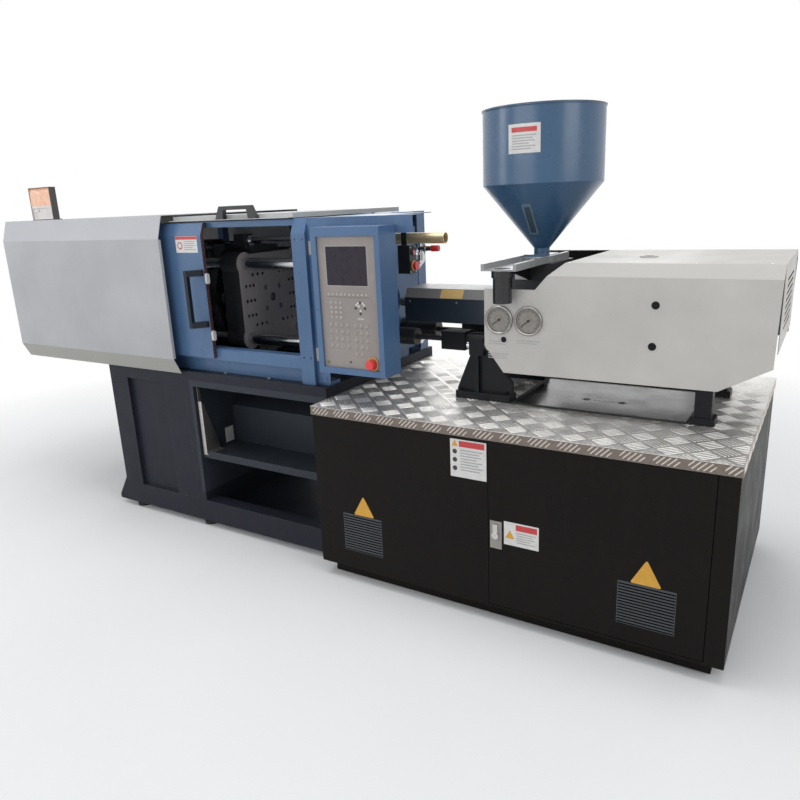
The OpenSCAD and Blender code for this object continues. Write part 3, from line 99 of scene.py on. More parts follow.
class Shader:
    """Short hand for building one material's node tree."""

    def __init__(self, name):
        self.mat = bpy.data.materials.new(name)
        self.mat.use_nodes = True
        self.tree = self.mat.node_tree
        self.bsdf = self.tree.nodes["Principled BSDF"]
        self.coord = self.node("ShaderNodeTexCoord")
        self.axes = self.node("ShaderNodeSeparateXYZ")
        self.link(self.position(), self.axes.inputs["Vector"])

    def node(self, kind, **props):
        made = self.tree.nodes.new(kind)
        for key, value in props.items():
            setattr(made, key, value)
        return made

    def link(self, output, socket):
        self.tree.links.new(output, socket)

    def put(self, value, socket):
        """Sets a socket to a number or colour, or links it to another node's output."""
        if isinstance(value, (int, float)):
            socket.default_value = value
        elif isinstance(value, tuple):
            socket.default_value = (*value, 1)
        else:
            self.link(value, socket)

    def position(self):
        """Object coordinates, which are the row frame at rest, in metres."""
        return self.coord.outputs["Object"]

    def mapped(self, scale):
        """Object coordinates stretched along the axes, for streaks and drawn lines."""
        made = self.node("ShaderNodeMapping")
        made.inputs["Scale"].default_value = scale
        self.link(self.position(), made.inputs["Vector"])
        return made.outputs["Vector"]

    def noise(self, scale, detail=4, rough=0.55, vector=None):
        made = self.node("ShaderNodeTexNoise")
        made.inputs["Scale"].default_value = scale
        made.inputs["Detail"].default_value = detail
        made.inputs["Roughness"].default_value = rough
        self.link(vector or self.position(), made.inputs["Vector"])
        return made.outputs["Fac"]

    def ramp(self, fac, stops):
        made = self.node("ShaderNodeValToRGB")
        elements = made.color_ramp.elements
        while len(elements) < len(stops):
            elements.new(0.5)
        for element, (place, col) in zip(elements, stops):
            element.position = place
            element.color = (*col, 1)
        self.link(fac, made.inputs["Fac"])
        return made.outputs["Color"]

    def cloudy(self, fac, col, dark, light):
        """A colour that drifts between a darker and a lighter shade of itself."""
        return self.ramp(fac, [(0.3, tint(col, dark)), (0.7, tint(col, light))])

    def remap(self, fac, start, end, low=0.0, high=1.0):
        """Turns start to end of a factor into low to high."""
        made = self.node("ShaderNodeMapRange")
        made.inputs["From Min"].default_value = start
        made.inputs["From Max"].default_value = end
        made.inputs["To Min"].default_value = low
        made.inputs["To Max"].default_value = high
        self.link(fac, made.inputs["Value"])
        return made.outputs["Result"]

    def math(self, op, a, b=None):
        made = self.node("ShaderNodeMath", operation=op)
        self.put(a, made.inputs[0])
        if b is not None:
            self.put(b, made.inputs[1])
        return made.outputs[0]

    def times(self, a, b):
        return self.math("MULTIPLY", a, b)

    def mix(self, fac, a, b):
        made = self.node("ShaderNodeMix", data_type="RGBA")
        self.put(fac, made.inputs[0])
        self.put(a, made.inputs[6])
        self.put(b, made.inputs[7])
        return made.outputs[2]

    def edge(self, radius):
        """1 on sharp edges, 0 on flat ground, from how far the rounded normals turn away."""
        turned_from, turned_to = 0.03, 0.18
        true = self.node("ShaderNodeNewGeometry")
        soft = self.rounded(radius)
        dot = self.node("ShaderNodeVectorMath", operation="DOT_PRODUCT")
        self.link(true.outputs["Normal"], dot.inputs[0])
        self.link(soft, dot.inputs[1])
        return self.remap(self.math("SUBTRACT", 1.0, dot.outputs["Value"]), turned_from, turned_to)

    def rounded(self, radius):
        """Soft shading across sharp edges."""
        made = self.node("ShaderNodeBevel", samples=4)
        made.inputs["Radius"].default_value = radius
        return made.outputs["Normal"]

    def bump(self, height, strength, distance, normal=None):
        made = self.node("ShaderNodeBump")
        made.inputs["Strength"].default_value = strength
        made.inputs["Distance"].default_value = distance
        self.link(height, made.inputs["Height"])
        if normal is not None:
            self.link(normal, made.inputs["Normal"])
        return made.outputs["Normal"]

    def inside(self, lo, hi):
        """1 inside a block between two corners; None leaves a side open."""
        fac = None
        for op, bounds in (("GREATER_THAN", lo), ("LESS_THAN", hi)):
            for axis, v in zip("XYZ", bounds):
                if v is None:
                    continue
                test = self.math(op, self.axes.outputs[axis], v * MM)
                fac = test if fac is None else self.times(fac, test)
        return fac

    def facing(self, axis, op, v):
        """1 where the object's own normal passes a test along one axis."""
        parts = self.node("ShaderNodeSeparateXYZ")
        self.link(self.coord.outputs["Normal"], parts.inputs["Vector"])
        return self.math(op, parts.outputs[axis], v)

    def finish(self, color, rough, normal=None, **sockets):
        self.put(color, self.bsdf.inputs["Base Color"])
        self.put(rough, self.bsdf.inputs["Roughness"])
        if normal is not None:
            self.link(normal, self.bsdf.inputs["Normal"])
        for name, value in sockets.items():
            self.bsdf.inputs[name.replace("_", " ")].default_value = value
        return self.mat


# Masks for areas of another colour
def block(lo, hi):
    return lambda s: s.inside(lo, hi)


def faces(axis, op, v):
    return lambda s: s.facing(axis, op, v)


def both(first, second):
    return lambda s: s.times(first(s), second(s))


# Kinds of material
def paint(name, col, rough=0.42, peel=0.25, dust=0.12, wear_and_painted_highlight=0.25, dust_col=(0.45, 0.42, 0.38), coat=0.12,
          under=None, spec=0.35, patches=()):
    """Machine paint: slight orange peel, cloudy tone, dust that settles, and lighter edges, which are worn
    paint and, on the slate paint, a painted highlight. patches are (mask, colour) pairs for areas of another
    colour, and under is the colour of the lighter edges."""
    s = Shader(name)
    base = s.cloudy(s.noise(scale=2.3, detail=5, rough=0.6), col, 0.88, 1.08)
    for mask, other in patches:
        base = s.mix(mask(s), base, other)
    specks = s.noise(scale=38, detail=6, rough=0.7)
    base = s.mix(s.remap(specks, 0.52, 0.78, high=dust), base, dust_col)
    streaks = s.noise(scale=1.0, detail=4, rough=0.6, vector=s.mapped((14, 14, 1.6)))
    base = s.mix(s.remap(streaks, 0.55, 0.8, high=dust * 0.7), base, dust_col)
    # Lighter edges: worn paint, and a painted highlight where under is pale, as on the slate paint
    worn_and_highlit_edges = s.remap(s.noise(scale=60), 0.45, 0.7, high=wear_and_painted_highlight)
    base = s.mix(s.times(s.edge(0.003), worn_and_highlit_edges), base, under or tint(dust_col, 0.9))
    normal = s.bump(s.noise(scale=420, detail=2, rough=0.5), peel, 0.0004, s.rounded(0.002))
    gloss = s.remap(s.noise(scale=7, detail=5, rough=0.65), 0.3, 0.7, rough - 0.07, rough + 0.10)
    return s.finish(base, gloss, normal, Coat_Weight=coat, Coat_Roughness=0.25, Specular_IOR_Level=spec)


def metal(name, col, rough=0.28, brush=(1, 1, 60), strength=0.15, stain=(0.10, 0.08, 0.06), stained=0.25,
          metallic=1.0):
    """Bare metal with drawn lines and a little staining; brush is how fine they are along each axis."""
    s = Shader(name)
    lines = s.noise(scale=9, detail=3, rough=0.6, vector=s.mapped(brush))
    base = s.cloudy(lines, col, 0.86, 1.06)
    blot = s.noise(scale=6, detail=6, rough=0.65)
    base = s.mix(s.remap(blot, 0.52, 0.75, high=stained), base, stain)
    normal = s.bump(lines, strength, 0.0003, s.rounded(0.0012))
    gloss = s.remap(blot, 0.3, 0.75, rough - 0.06, rough + 0.14)
    return s.finish(base, gloss, normal, Metallic=metallic)


def plastic(name, col, rough=0.45, grain=0.15, grain_scale=900, coat=0.0):
    """Moulded plastic with a fine texture and lighter edges."""
    s = Shader(name)
    base = s.cloudy(s.noise(scale=5, detail=4, rough=0.6), col, 0.9, 1.1)
    base = s.mix(s.times(s.edge(0.002), 0.18), base, tint(col, 1.8))
    normal = s.bump(s.noise(scale=grain_scale, detail=2), grain, 0.0003, s.rounded(0.0012))
    gloss = s.remap(s.noise(scale=11), 0.3, 0.7, rough - 0.05, rough + 0.08)
    return s.finish(base, gloss, normal, Coat_Weight=coat)


def film(name, col, rough=0.35, coat=0.15, spec=0.4):
    """Printed film: an even colour with faint scuffs."""
    s = Shader(name)
    scuff = s.noise(scale=45, detail=3)
    base = s.cloudy(scuff, col, 0.93, 1.04)
    gloss = s.remap(scuff, 0.35, 0.7, rough - 0.05, rough + 0.12)
    return s.finish(base, gloss, s.bump(scuff, 0.05, 0.0002), Coat_Weight=coat, Specular_IOR_Level=spec)


def window(name, col, alpha):
    """Clear sheet with fine scratches, as a thin see-through film."""
    rough = 0.08
    s = Shader(name)
    scratches = s.noise(scale=30, rough=0.6, vector=s.mapped((1, 1, 12)))
    gloss = s.remap(scratches, 0.5, 0.8, rough, rough + 0.15)
    return s.finish(col, gloss, Transmission_Weight=0.0, Alpha=alpha, Specular_IOR_Level=0.6)


DECK_LO, DECK_HI = corners("deck_plate")
TREAD_PITCH = 100.0
LIP_STROKES = (0.58, 0.53, 0.48)
DIRT = (0.085, 0.070, 0.058)
BRIGHT_EDGE = (0.80, 0.80, 0.78)


def tread_plate(name, col, dirt, lip):
    """Tread plate: scuffs, dirt in the low places, and a browner turned down lip below the deck.

    The rear lip has painted strokes, because raised ones would stand past the rear of the machine."""
    s = Shader(name)
    blot = s.noise(scale=5, detail=6, rough=0.7)
    base = s.ramp(blot, [(0.25, tint(col, 0.70)), (0.55, col), (0.8, tint(col, 1.15))])
    base = s.mix(s.inside(OPEN, (None, None, DECK_HI.z - 1.1)), base, lip)
    x, z = s.axes.outputs["X"], s.axes.outputs["Z"]
    stroke_pitch, stroke_share, group_share = 17.5, 0.42, 0.86
    across = s.math("DIVIDE", s.math("ADD", x, z), stroke_pitch * MM)
    along = s.math("DIVIDE", x, TREAD_PITCH * MM)
    stroke = s.math("LESS_THAN", s.math("FRACT", across), stroke_share)
    group = s.math("LESS_THAN", s.math("FRACT", along), group_share)
    rear_lip = s.inside((None, DECK_HI.y - 0.6, None), (None, None, DECK_HI.z - 4))
    base = s.mix(s.times(rear_lip, s.times(stroke, group)), base, LIP_STROKES)
    grit = s.noise(scale=130, detail=5, rough=0.7)
    base = s.mix(s.remap(grit, 0.46, 0.70, high=dirt), base, DIRT)
    base = s.mix(s.times(s.edge(0.0015), 0.7), base, BRIGHT_EDGE)
    gloss = s.remap(s.noise(scale=24, detail=5, rough=0.6), 0.3, 0.7, 0.26, 0.50)
    return s.finish(base, gloss, s.bump(grit, 0.25, 0.0004, s.rounded(0.0008)), Metallic=0.75)


def lamp_lens():
    """Moulded lens: amber above, milky below, with cast ribs, in a black case."""
    lo, hi = corners("beacon_lamp")
    rim, lens_depth = 4, 32
    seam_from, seam_to = lo.z + 66, lo.z + 76
    s = Shader("lamp_lens")
    ribs = s.node("ShaderNodeTexWave", wave_type="BANDS", bands_direction="X")
    ribs.inputs["Scale"].default_value = 70
    s.link(s.position(), ribs.inputs["Vector"])
    blot = s.noise(scale=30, rough=0.6)
    amber = s.ramp(blot, [(0.3, (0.78, 0.36, 0.20)), (0.6, (0.86, 0.52, 0.34)), (0.85, (0.92, 0.74, 0.62))])
    milk = s.ramp(blot, [(0.3, (0.60, 0.57, 0.54)), (0.8, (0.74, 0.72, 0.69))])
    col = s.mix(s.remap(s.axes.outputs["Z"], seam_from * MM, seam_to * MM), milk, amber)
    case = ((OPEN, (lo.x + rim, None, None)), ((hi.x - rim, None, None), OPEN),
            ((None, None, hi.z - rim), OPEN), (OPEN, (None, None, lo.z + rim)),
            ((None, lo.y + lens_depth, None), OPEN))
    for low, high in case:
        col = s.mix(s.inside(low, high), col, (0.03, 0.028, 0.028))
    normal = s.bump(ribs.outputs["Fac"], 0.35, 0.001, s.rounded(0.002))
    return s.finish(col, 0.18, normal, Coat_Weight=0.5, Subsurface_Weight=0.15,
                    Subsurface_Radius=(0.02, 0.01, 0.006))


# Colours of the paints
BLUE = (0.068, 0.138, 0.262)
WHITE = (0.515, 0.500, 0.472)
# Painted shade: the white covers' upward faces are a darker copy of their white
WHITE_PAINTED_SHADE = (0.455, 0.442, 0.416)
COOL_GREY = (0.405, 0.410, 0.425)
# Painted highlight on the clamp covers' upward folds, and painted shade, darker and warmer, on their downward
# folds
COOL_GREY_PAINTED_HIGHLIGHT = (0.42, 0.424, 0.445)
COOL_GREY_PAINTED_SHADE = (0.335, 0.33, 0.305)
SLATE = (0.016, 0.018, 0.027)
SLATE_BAY = (0.030, 0.036, 0.046)
HOPPER_BLUE = (0.034, 0.092, 0.178)
CABINET = (0.0080, 0.0069, 0.0062)
CAST_DARK = (0.030, 0.031, 0.036)
STEEL = (0.42, 0.41, 0.39)
BLACK = (0.012, 0.012, 0.014)
COVER_DUST = (0.38, 0.36, 0.32)
BLUE_DUST = (0.36, 0.40, 0.45)

# Finishes that several paints share
BLUE_COAT = dict(rough=0.34, peel=0.25, dust=0.06, wear_and_painted_highlight=0.30, dust_col=BLUE_DUST, coat=0.18)
COVER_COAT = dict(rough=0.44, peel=0.30, dust=0.04, wear_and_painted_highlight=0.10, dust_col=COVER_DUST, coat=0.05)
CABINET_COAT = dict(rough=0.42, peel=0.5, dust=0.04, wear_and_painted_highlight=0.30, dust_col=(0.09, 0.075, 0.065), coat=0.0,
                    spec=0.10)
CAST_COAT = dict(rough=0.45, peel=0.9, dust=0.3, wear_and_painted_highlight=0.6, dust_col=(0.13, 0.12, 0.11), coat=0.05)

# The hopper's axis and wall, and the cabinet's face
HOPPER_X = sum(corner.x for corner in corners("hopper_lid")) / 2
HOPPER_R = 223
CABINET_FACE = corners("cabinet_frame")[0].y

# Areas of another colour
# Upward and downward folds of the covers, which take painted light and painted shade
UPPER_FOLD_PAINTED_LIGHT_AND_SHADE = faces("Z", "GREATER_THAN", 0.3)
LOWER_FOLD_PAINTED_SHADE = faces("Z", "LESS_THAN", -0.2)
BASE_BAY = block((-590, -480, 180), (330, 480, 745))
GUARD_SLOPE = block((None, None, corners("barrel_guard")[1].z - 37), OPEN)
SIGHT_HALF = 17.1
SIGHT_FRAME = block((HOPPER_X - SIGHT_HALF, None, 1364), (HOPPER_X + SIGHT_HALF, -60, 1476))

# One material for each slot of the record
MATS = {
    # The slate paint's pale edges are a painted highlight along its edges
    "slate_paint": paint("slate_paint", SLATE, rough=0.46, dust=0.08, wear_and_painted_highlight=0.9, dust_col=(0.09, 0.09, 0.09),
                         coat=0.0, under=(0.19, 0.195, 0.20), spec=0.18, patches=[(BASE_BAY, SLATE_BAY)]),
    "bent_sheet": metal("bent_sheet", (0.52, 0.50, 0.47), rough=0.40, brush=(1, 1, 20)),
    "black_rubber": plastic("black_rubber", (0.018, 0.018, 0.018), rough=0.75),
    "cabinet_paint": paint("cabinet_paint", CABINET, **CABINET_COAT),
    "checker_plate": tread_plate("checker_plate", (0.78, 0.765, 0.74), dirt=0.34, lip=(0.20, 0.165, 0.14)),
    "stainless": metal("stainless", (0.52, 0.54, 0.56), rough=0.16, brush=(3, 60, 3), strength=0.08,
                       stain=(0.20, 0.19, 0.18), stained=0.30),
    "tank_paint": paint("tank_paint", (0.10, 0.14, 0.17)),
    "grey_equipment": plastic("grey_equipment", (0.52, 0.52, 0.50), rough=0.5),
    "cast_dark": paint("cast_dark", CAST_DARK, **CAST_COAT),
    "hard_chrome": metal("hard_chrome", (0.60, 0.61, 0.63), rough=0.15, brush=(60, 1, 1), strength=0.02,
                         stain=(0.30, 0.29, 0.28), stained=0.15),
    "brass_sleeve": metal("brass_sleeve", (0.86, 0.70, 0.42), rough=0.34, brush=(1, 50, 50), strength=0.08,
                          stain=(0.42, 0.32, 0.18), metallic=0.6),
    # Painted shade on the upward faces of the white covers
    "white_cover": paint("white_cover", WHITE, **COVER_COAT, patches=[(UPPER_FOLD_PAINTED_LIGHT_AND_SHADE, WHITE_PAINTED_SHADE)]),
    "amber_lens": lamp_lens(),
    "blue_paint": paint("blue_paint", BLUE, **BLUE_COAT),
    "black_plastic": plastic("black_plastic", (0.016, 0.017, 0.019), rough=0.40),
    "black_casting": paint("black_casting", (0.007, 0.0075, 0.010), rough=0.40, peel=0.6, dust=0.06, wear_and_painted_highlight=0.4,
                           dust_col=(0.08, 0.078, 0.075), coat=0.03, spec=0.2),
    "clear_window": window("clear_window", (0.75, 0.82, 0.84), alpha=0.12),
    "grey_guard": paint("grey_guard", (0.48, 0.49, 0.48), dust=0.06, wear_and_painted_highlight=0.15),
    "panel_grey": plastic("panel_grey", (0.262, 0.234, 0.218), rough=0.52, grain=0.2, grain_scale=700),
    "red_button": plastic("red_button", (0.66, 0.028, 0.028), rough=0.30, grain=0.05, grain_scale=600,
                          coat=0.4),
    "latch_chrome": metal("latch_chrome", (0.62, 0.62, 0.60), rough=0.22),
    "link_steel": metal("link_steel", (0.25, 0.26, 0.28), rough=0.36, brush=(30, 1, 30),
                        stain=(0.05, 0.045, 0.04), stained=0.5),
    "barrel_steel": metal("barrel_steel", (0.33, 0.29, 0.24), rough=0.38, brush=(1, 40, 40), strength=0.12,
                          stain=(0.08, 0.06, 0.05), stained=0.5),
    "navy_guard": paint("navy_guard", (0.017, 0.026, 0.038), rough=0.34, dust=0.05, wear_and_painted_highlight=0.30,
                        dust_col=(0.12, 0.13, 0.14), patches=[(GUARD_SLOPE, (0.20, 0.195, 0.19))]),
    "gauge_case": metal("gauge_case", (0.30, 0.29, 0.275), rough=0.16, brush=(1, 1, 1), strength=0.05,
                        stain=(0.05, 0.045, 0.04), stained=0.5),
    "screw_steel": metal("screw_steel", (0.45, 0.46, 0.47), rough=0.30),
    "hopper_blue": paint("hopper_blue", HOPPER_BLUE, rough=0.26, peel=0.15, dust=0.05,
                         dust_col=(0.30, 0.36, 0.42), coat=0.35, spec=0.4,
                         patches=[(SIGHT_FRAME, (0.11, 0.17, 0.23))]),
    "lid_dark": paint("lid_dark", (0.05, 0.065, 0.09), rough=0.45),
}

# Areas of single nodes: rollers and seal of the gate, hinge leaves, machined faces, vents and latch dish
GATE_EDGE = corners("front_gate")[1].x
GATE_ROLLERS = block((GATE_EDGE - 11.2, None, None), OPEN)
GATE_SEAL = both(block((GATE_EDGE - 14, None, None), (GATE_EDGE - 10.9, None, None)),
                 faces("X", "GREATER_THAN", 0.5))
BOX_HINGE = block((None, -433, None), (251.5, None, None))
HOUSING_HINGE = block(OPEN, (250, -412.2, None))
PLATEN_FACE = block((corners("moving_platen")[1].x - 2, None, None), OPEN)
NOZZLE_SIDE = block((271, None, None), OPEN)
LEFT_VENT = block((338, None, 141), (520, CABINET_FACE + 2, 304))
DOOR_VENT = block((1436, None, 135), (1619, CABINET_FACE + 2.5, 290))
LATCH_DISH = block(OPEN, (None, CABINET_FACE - 0.05, None))
SLIDE_UNDERSIDE = block(OPEN, (None, None, 1261.7))
# Painted highlight on the clamp covers' upward folds and painted shade on their downward folds
CLAMP_PAINTED_LIGHT_AND_SHADE = [(UPPER_FOLD_PAINTED_LIGHT_AND_SHADE, COOL_GREY_PAINTED_HIGHLIGHT), (LOWER_FOLD_PAINTED_SHADE, COOL_GREY_PAINTED_SHADE)]


def clamp_cover(side):
    """Cool grey cover with a painted highlight on its upper folds and painted shade on its lower ones."""
    return paint("cover_paint_" + side, COOL_GREY, **COVER_COAT, patches=CLAMP_PAINTED_LIGHT_AND_SHADE)


# Materials of nodes whose parts differ from the rest of their slot
OWN = {
    "front_gate": paint("gate_paint", BLUE, **BLUE_COAT, patches=[
        (GATE_ROLLERS, (0.62, 0.60, 0.57)), (GATE_SEAL, (0.075, 0.035, 0.040))]),
    "front_gate_handle": paint("handle_paint", (0.010, 0.015, 0.022), peel=0.3, dust=0.05, wear_and_painted_highlight=0.3,
                               dust_col=(0.07, 0.08, 0.09), coat=0.0, spec=0.25),
    "gate_frame": paint("frame_paint", BLUE, **BLUE_COAT),
    "control_box": paint("box_paint", BLUE, rough=0.34, dust=0.05, dust_col=BLUE_DUST, coat=0.2,
                         patches=[(BOX_HINGE, STEEL)]),
    "housing_front": paint("housing_paint", BLUE, **BLUE_COAT, patches=[(HOUSING_HINGE, STEEL)]),
    "moving_platen": paint("platen_paint", CAST_DARK, **CAST_COAT,
                           patches=[(PLATEN_FACE, (0.36, 0.33, 0.33))]),
    "stationary_platen": paint("fixed_platen_paint", BLUE, rough=0.40, peel=0.6, dust=0.10, wear_and_painted_highlight=0.40,
                               dust_col=(0.20, 0.21, 0.23), coat=0.05,
                               patches=[(NOZZLE_SIDE, (0.020, 0.020, 0.022))]),
    "clamp_cover_front": clamp_cover("front"),
    "clamp_cover_rear": clamp_cover("rear"),
    "clamp_cover_top": clamp_cover("top"),
    "cabinet_frame": paint("frame_cabinet_paint", CABINET, **CABINET_COAT,
                           patches=[(LEFT_VENT, (0.075, 0.080, 0.085))]),
    "cabinet_door": paint("door_paint", CABINET, **CABINET_COAT, patches=[
        (DOOR_VENT, (0.070, 0.075, 0.080)), (LATCH_DISH, (0.30, 0.29, 0.27))]),
    "drip_tray": paint("tray_sheet", (0.040, 0.040, 0.042), rough=0.20, peel=0.1, dust=0.05, wear_and_painted_highlight=0.3,
                       dust_col=(0.10, 0.09, 0.08), coat=0.0, spec=0.12),
    # Painted shade: the rear hood's faces turned in towards the machine and its downward faces are black
    "injection_cover_rear": paint("rear_hood_paint", WHITE, rough=0.40, peel=0.30, dust=0.04, wear_and_painted_highlight=0.10,
                                  dust_col=COVER_DUST, coat=0.10,
                                  patches=[(faces("Y", "LESS_THAN", -0.3), BLACK),
                                           (faces("Z", "LESS_THAN", -0.3), BLACK)]),
    "hopper_slide_base": paint("slide_paint", (0.31, 0.315, 0.32), rough=0.24, peel=0.1, dust=0.05, wear_and_painted_highlight=0.2,
                               dust_col=(0.2, 0.19, 0.18), coat=0.3, patches=[(SLIDE_UNDERSIDE, BLACK)]),
}

# Films and small caps of the added pieces
FILM_WHITE = film("film_white", (0.64, 0.63, 0.61))
FILM_RED = film("film_red", (0.52, 0.045, 0.050))
FILM_AMBER = film("film_amber", (0.62, 0.32, 0.035))
FILM_DARK = film("film_dark", (0.035, 0.035, 0.040))
FILM_GREY = film("film_grey", (0.36, 0.36, 0.36))
FILM_BROWN = film("film_brown", (0.20, 0.17, 0.15))
FILM_SCREEN = film("film_screen", (0.040, 0.036, 0.045), rough=0.30, coat=0.0, spec=0.10)
FILM_FRAME = film("film_frame", (0.36, 0.33, 0.32))
FILM_KEY = film("film_key", (0.44, 0.41, 0.39))
FILM_YELLOW = film("film_yellow", (0.64, 0.43, 0.16))
FILM_ORANGE = film("film_orange", (0.62, 0.27, 0.07))
FILM_PINK = film("film_pink", (0.50, 0.16, 0.24))
FILM_SIGHT = film("film_sight", (0.030, 0.062, 0.090), rough=0.15, coat=0.3)
FILM_GREEN = film("film_green", (0.11, 0.15, 0.05))
DIAL = film("dial", (0.25, 0.235, 0.21), rough=0.3)
BLACK_CAP = film("black_cap", (0.006, 0.006, 0.007), rough=0.5, coat=0.0, spec=0.15)

for entry in frame["record"]["subparts"]:
    slots = nodes[entry["node"]].data.materials
    slots.clear()
    slots.append(OWN.get(entry["node"]) or MATS[entry["material_slot"]])


# Mesh helpers
def add(name, bm, body, slot, mat=None, bevel=0.0):
    """Links a bmesh as a piece that rides on a CAD body."""
    mesh = bpy.data.meshes.new(name)
    bm.to_mesh(mesh)
    bm.free()
    obj = bpy.data.objects.new(name, mesh)
    scene.collection.objects.link(obj)
    mesh.materials.append(mat or MATS[slot])
    if bevel:
        mod = obj.modifiers.new("bevel", "BEVEL")
        mod.width = bevel
        mod.segments = 2
        mod.limit_method = "ANGLE"
    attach(obj, body)


def block_faces(bm, points):
    """Closes eight points, in order of X, then Y, then Z, into a block."""
    verts = [bm.verts.new(p) for p in points]
    for face in BLOCK_FACES:
        bm.faces.new([verts[i] for i in face])


def bm_box(bm, lo, hi, matrix=Matrix.Identity(4)):
    """Adds a closed block between two corners, moved by matrix."""
    xs, ys, zs = zip(Vector(lo) * MM, Vector(hi) * MM)
    block_faces(bm, [matrix @ Vector((x, y, z)) for x in xs for y in ys for z in zs])


def cross_axes(axis):
    """Unit vectors along an axis and across it."""
    axis = Vector(axis).normalized()
    side = axis.orthogonal().normalized()
    return axis, side, axis.cross(side)


def bm_cyl(bm, centre, axis, r, h, segs=24, top_r=None):
    """Adds a closed cylinder or cone from centre along axis."""
    axis, side, other = cross_axes(axis)
    turns = [2 * math.pi * i / segs for i in range(segs)]
    centre = Vector(centre) * MM
    outward = [side * math.cos(t) + other * math.sin(t) for t in turns]
    low, high = [[bm.verts.new(centre + axis * up * MM + out * radius * MM) for out in outward]
                 for radius, up in ((r, 0), (r if top_r is None else top_r, h))]
    for i in range(segs):
        j = (i + 1) % segs
        bm.faces.new((low[i], low[j], high[j], high[i]))
    bm.faces.new(list(reversed(low)))
    bm.faces.new(high)


def bm_ring(bm, centre, axis, profile, segs=48):
    """Adds a lathe form round axis; profile is a closed list of (radius, height)."""
    axis, side, other = cross_axes(axis)
    centre = Vector(centre) * MM
    rings = []
    for i in range(segs):
        t = 2 * math.pi * i / segs
        out = side * math.cos(t) + other * math.sin(t)
        rings.append([bm.verts.new(centre + axis * h * MM + out * r * MM) for r, h in profile])
    n = len(profile)
    for i in range(segs):
        a, b = rings[i], rings[(i + 1) % segs]
        for k in range(n):
            bm.faces.new((a[k], b[k], b[(k + 1) % n], a[(k + 1) % n]))


def bm_prism(bm, points, y0, y1):
    """Adds an outline of (x, z) points, extruded along Y."""
    low = [bm.verts.new(Vector((x, y0, z)) * MM) for x, z in points]
    high = [bm.verts.new(Vector((x, y1, z)) * MM) for x, z in points]
    n = len(points)
    for i in range(n):
        j = (i + 1) % n
        bm.faces.new((low[i], low[j], high[j], high[i]))
    bm.faces.new(list(reversed(low)))
    bm.faces.new(high)
    bmesh.ops.recalc_face_normals(bm, faces=bm.faces)


# Tread plate
BAR_LENGTH, BAR_STEP, BAR_HALF_WIDTH, BAR_HEIGHT = 62.0, 12.4, 2.5, 1.4
BAR_TIP, CROWN_TIP, CROWN_SHOULDER = 5, 0.9, 0.86
BARS = 5
CUT_STEPS, SHORTEST_CUT = 32, 6


def tread_bar(bm, start, end, across, normal):
    """One bar: a low ridge with a flat crown and pointed ends."""
    along = (end - start).normalized()
    centre = (start + end) / 2
    half = along * (end - start).length / 2
    wide = across * BAR_HALF_WIDTH
    tip = along * BAR_TIP
    base = [centre - half, centre - half + tip + wide, centre + half - tip + wide, centre + half,
            centre + half - tip - wide, centre - half + tip - wide]
    end_of_crown, shoulder, rim = half * CROWN_TIP, half * CROWN_SHOULDER, wide * 0.5
    crown = [centre - end_of_crown, centre - shoulder + rim, centre + shoulder + rim, centre + end_of_crown,
             centre + shoulder - rim, centre - shoulder - rim]
    lower = [bm.verts.new(p * MM) for p in base]
    upper = [bm.verts.new((p + normal * BAR_HEIGHT) * MM) for p in crown]
    for i in range(6):
        j = (i + 1) % 6
        bm.faces.new((lower[i], lower[j], upper[j], upper[i]))
    bm.faces.new(upper)


def tread_group(bm, centre, angle, first, second, normal, inside):
    """Five bars side by side, turned by angle between two axes, each cut where the sheet ends."""
    along = first * math.cos(angle) + second * math.sin(angle)
    across = second * math.cos(angle) - first * math.sin(angle)
    reach = CUT_STEPS // 2
    for k in range(BARS):
        middle = centre + across * (k - BARS // 2) * BAR_STEP
        steps = [middle + along * BAR_LENGTH * t / CUT_STEPS for t in range(-reach, reach + 1)]
        on_sheet = [i for i, p in enumerate(steps) if inside(p)]
        if len(on_sheet) > SHORTEST_CUT and on_sheet[-1] - on_sheet[0] == len(on_sheet) - 1:
            tread_bar(bm, steps[on_sheet[0]], steps[on_sheet[-1]], across, normal)


def tread_deck():
    """Raised five-bar tread on the deck and its turned down edges."""
    bm = bmesh.new()
    tray_lo, tray_hi = corners("drip_tray")
    x0, x1 = DECK_LO.x - 0.5, DECK_HI.x - 1
    y0, y1 = DECK_LO.y + 1, DECK_HI.y - 1
    top, lip_middle = DECK_HI.z, DECK_HI.z - 17
    lip_from, lip_to = DECK_LO.z + 2, DECK_HI.z - 2
    tray_gap = 2

    def on_tray(p):
        return (tray_lo.x - tray_gap < p.x < tray_hi.x + tray_gap and
                tray_lo.y - tray_gap < p.y < tray_hi.y + tray_gap)

    def on_deck(p):
        return x0 < p.x < x1 and y0 < p.y < y1 and not on_tray(p)

    def on_front_lip(p):
        return x0 < p.x < x1 and lip_from < p.z < lip_to

    def on_end_lip(p):
        return y0 < p.y < y1 and lip_from < p.z < lip_to

    right, rear, up = Vector(RIGHT), Vector(REAR), Vector(UP)
    half = TREAD_PITCH / 2
    slant = math.radians(45)
    columns = int((x1 - x0) / half) + 2
    rows = int((y1 - y0) / half) + 2
    for i in range(columns):
        for j in range(rows):
            if (i + j) % 2 == 0:
                centre = Vector((x0 + i * half, y0 + j * half, top))
                tread_group(bm, centre, slant if i % 2 else -slant, right, rear, up, on_deck)
    # the same sheet, folded down over the front and the right end
    for i in range(1, columns, 2):
        centre = Vector((x0 + i * half, DECK_LO.y, lip_middle))
        tread_group(bm, centre, slant, right, up, -rear, on_front_lip)
    for j in range(1, rows, 2):
        centre = Vector((DECK_HI.x, y0 + j * half, lip_middle))
        tread_group(bm, centre, slant, rear, up, right, on_end_lip)
    bars = tread_plate("tread_bars", (0.84, 0.82, 0.78), 0.22, LIP_STROKES)
    add("deck_tread", bm, "frame", "checker_plate", bars)


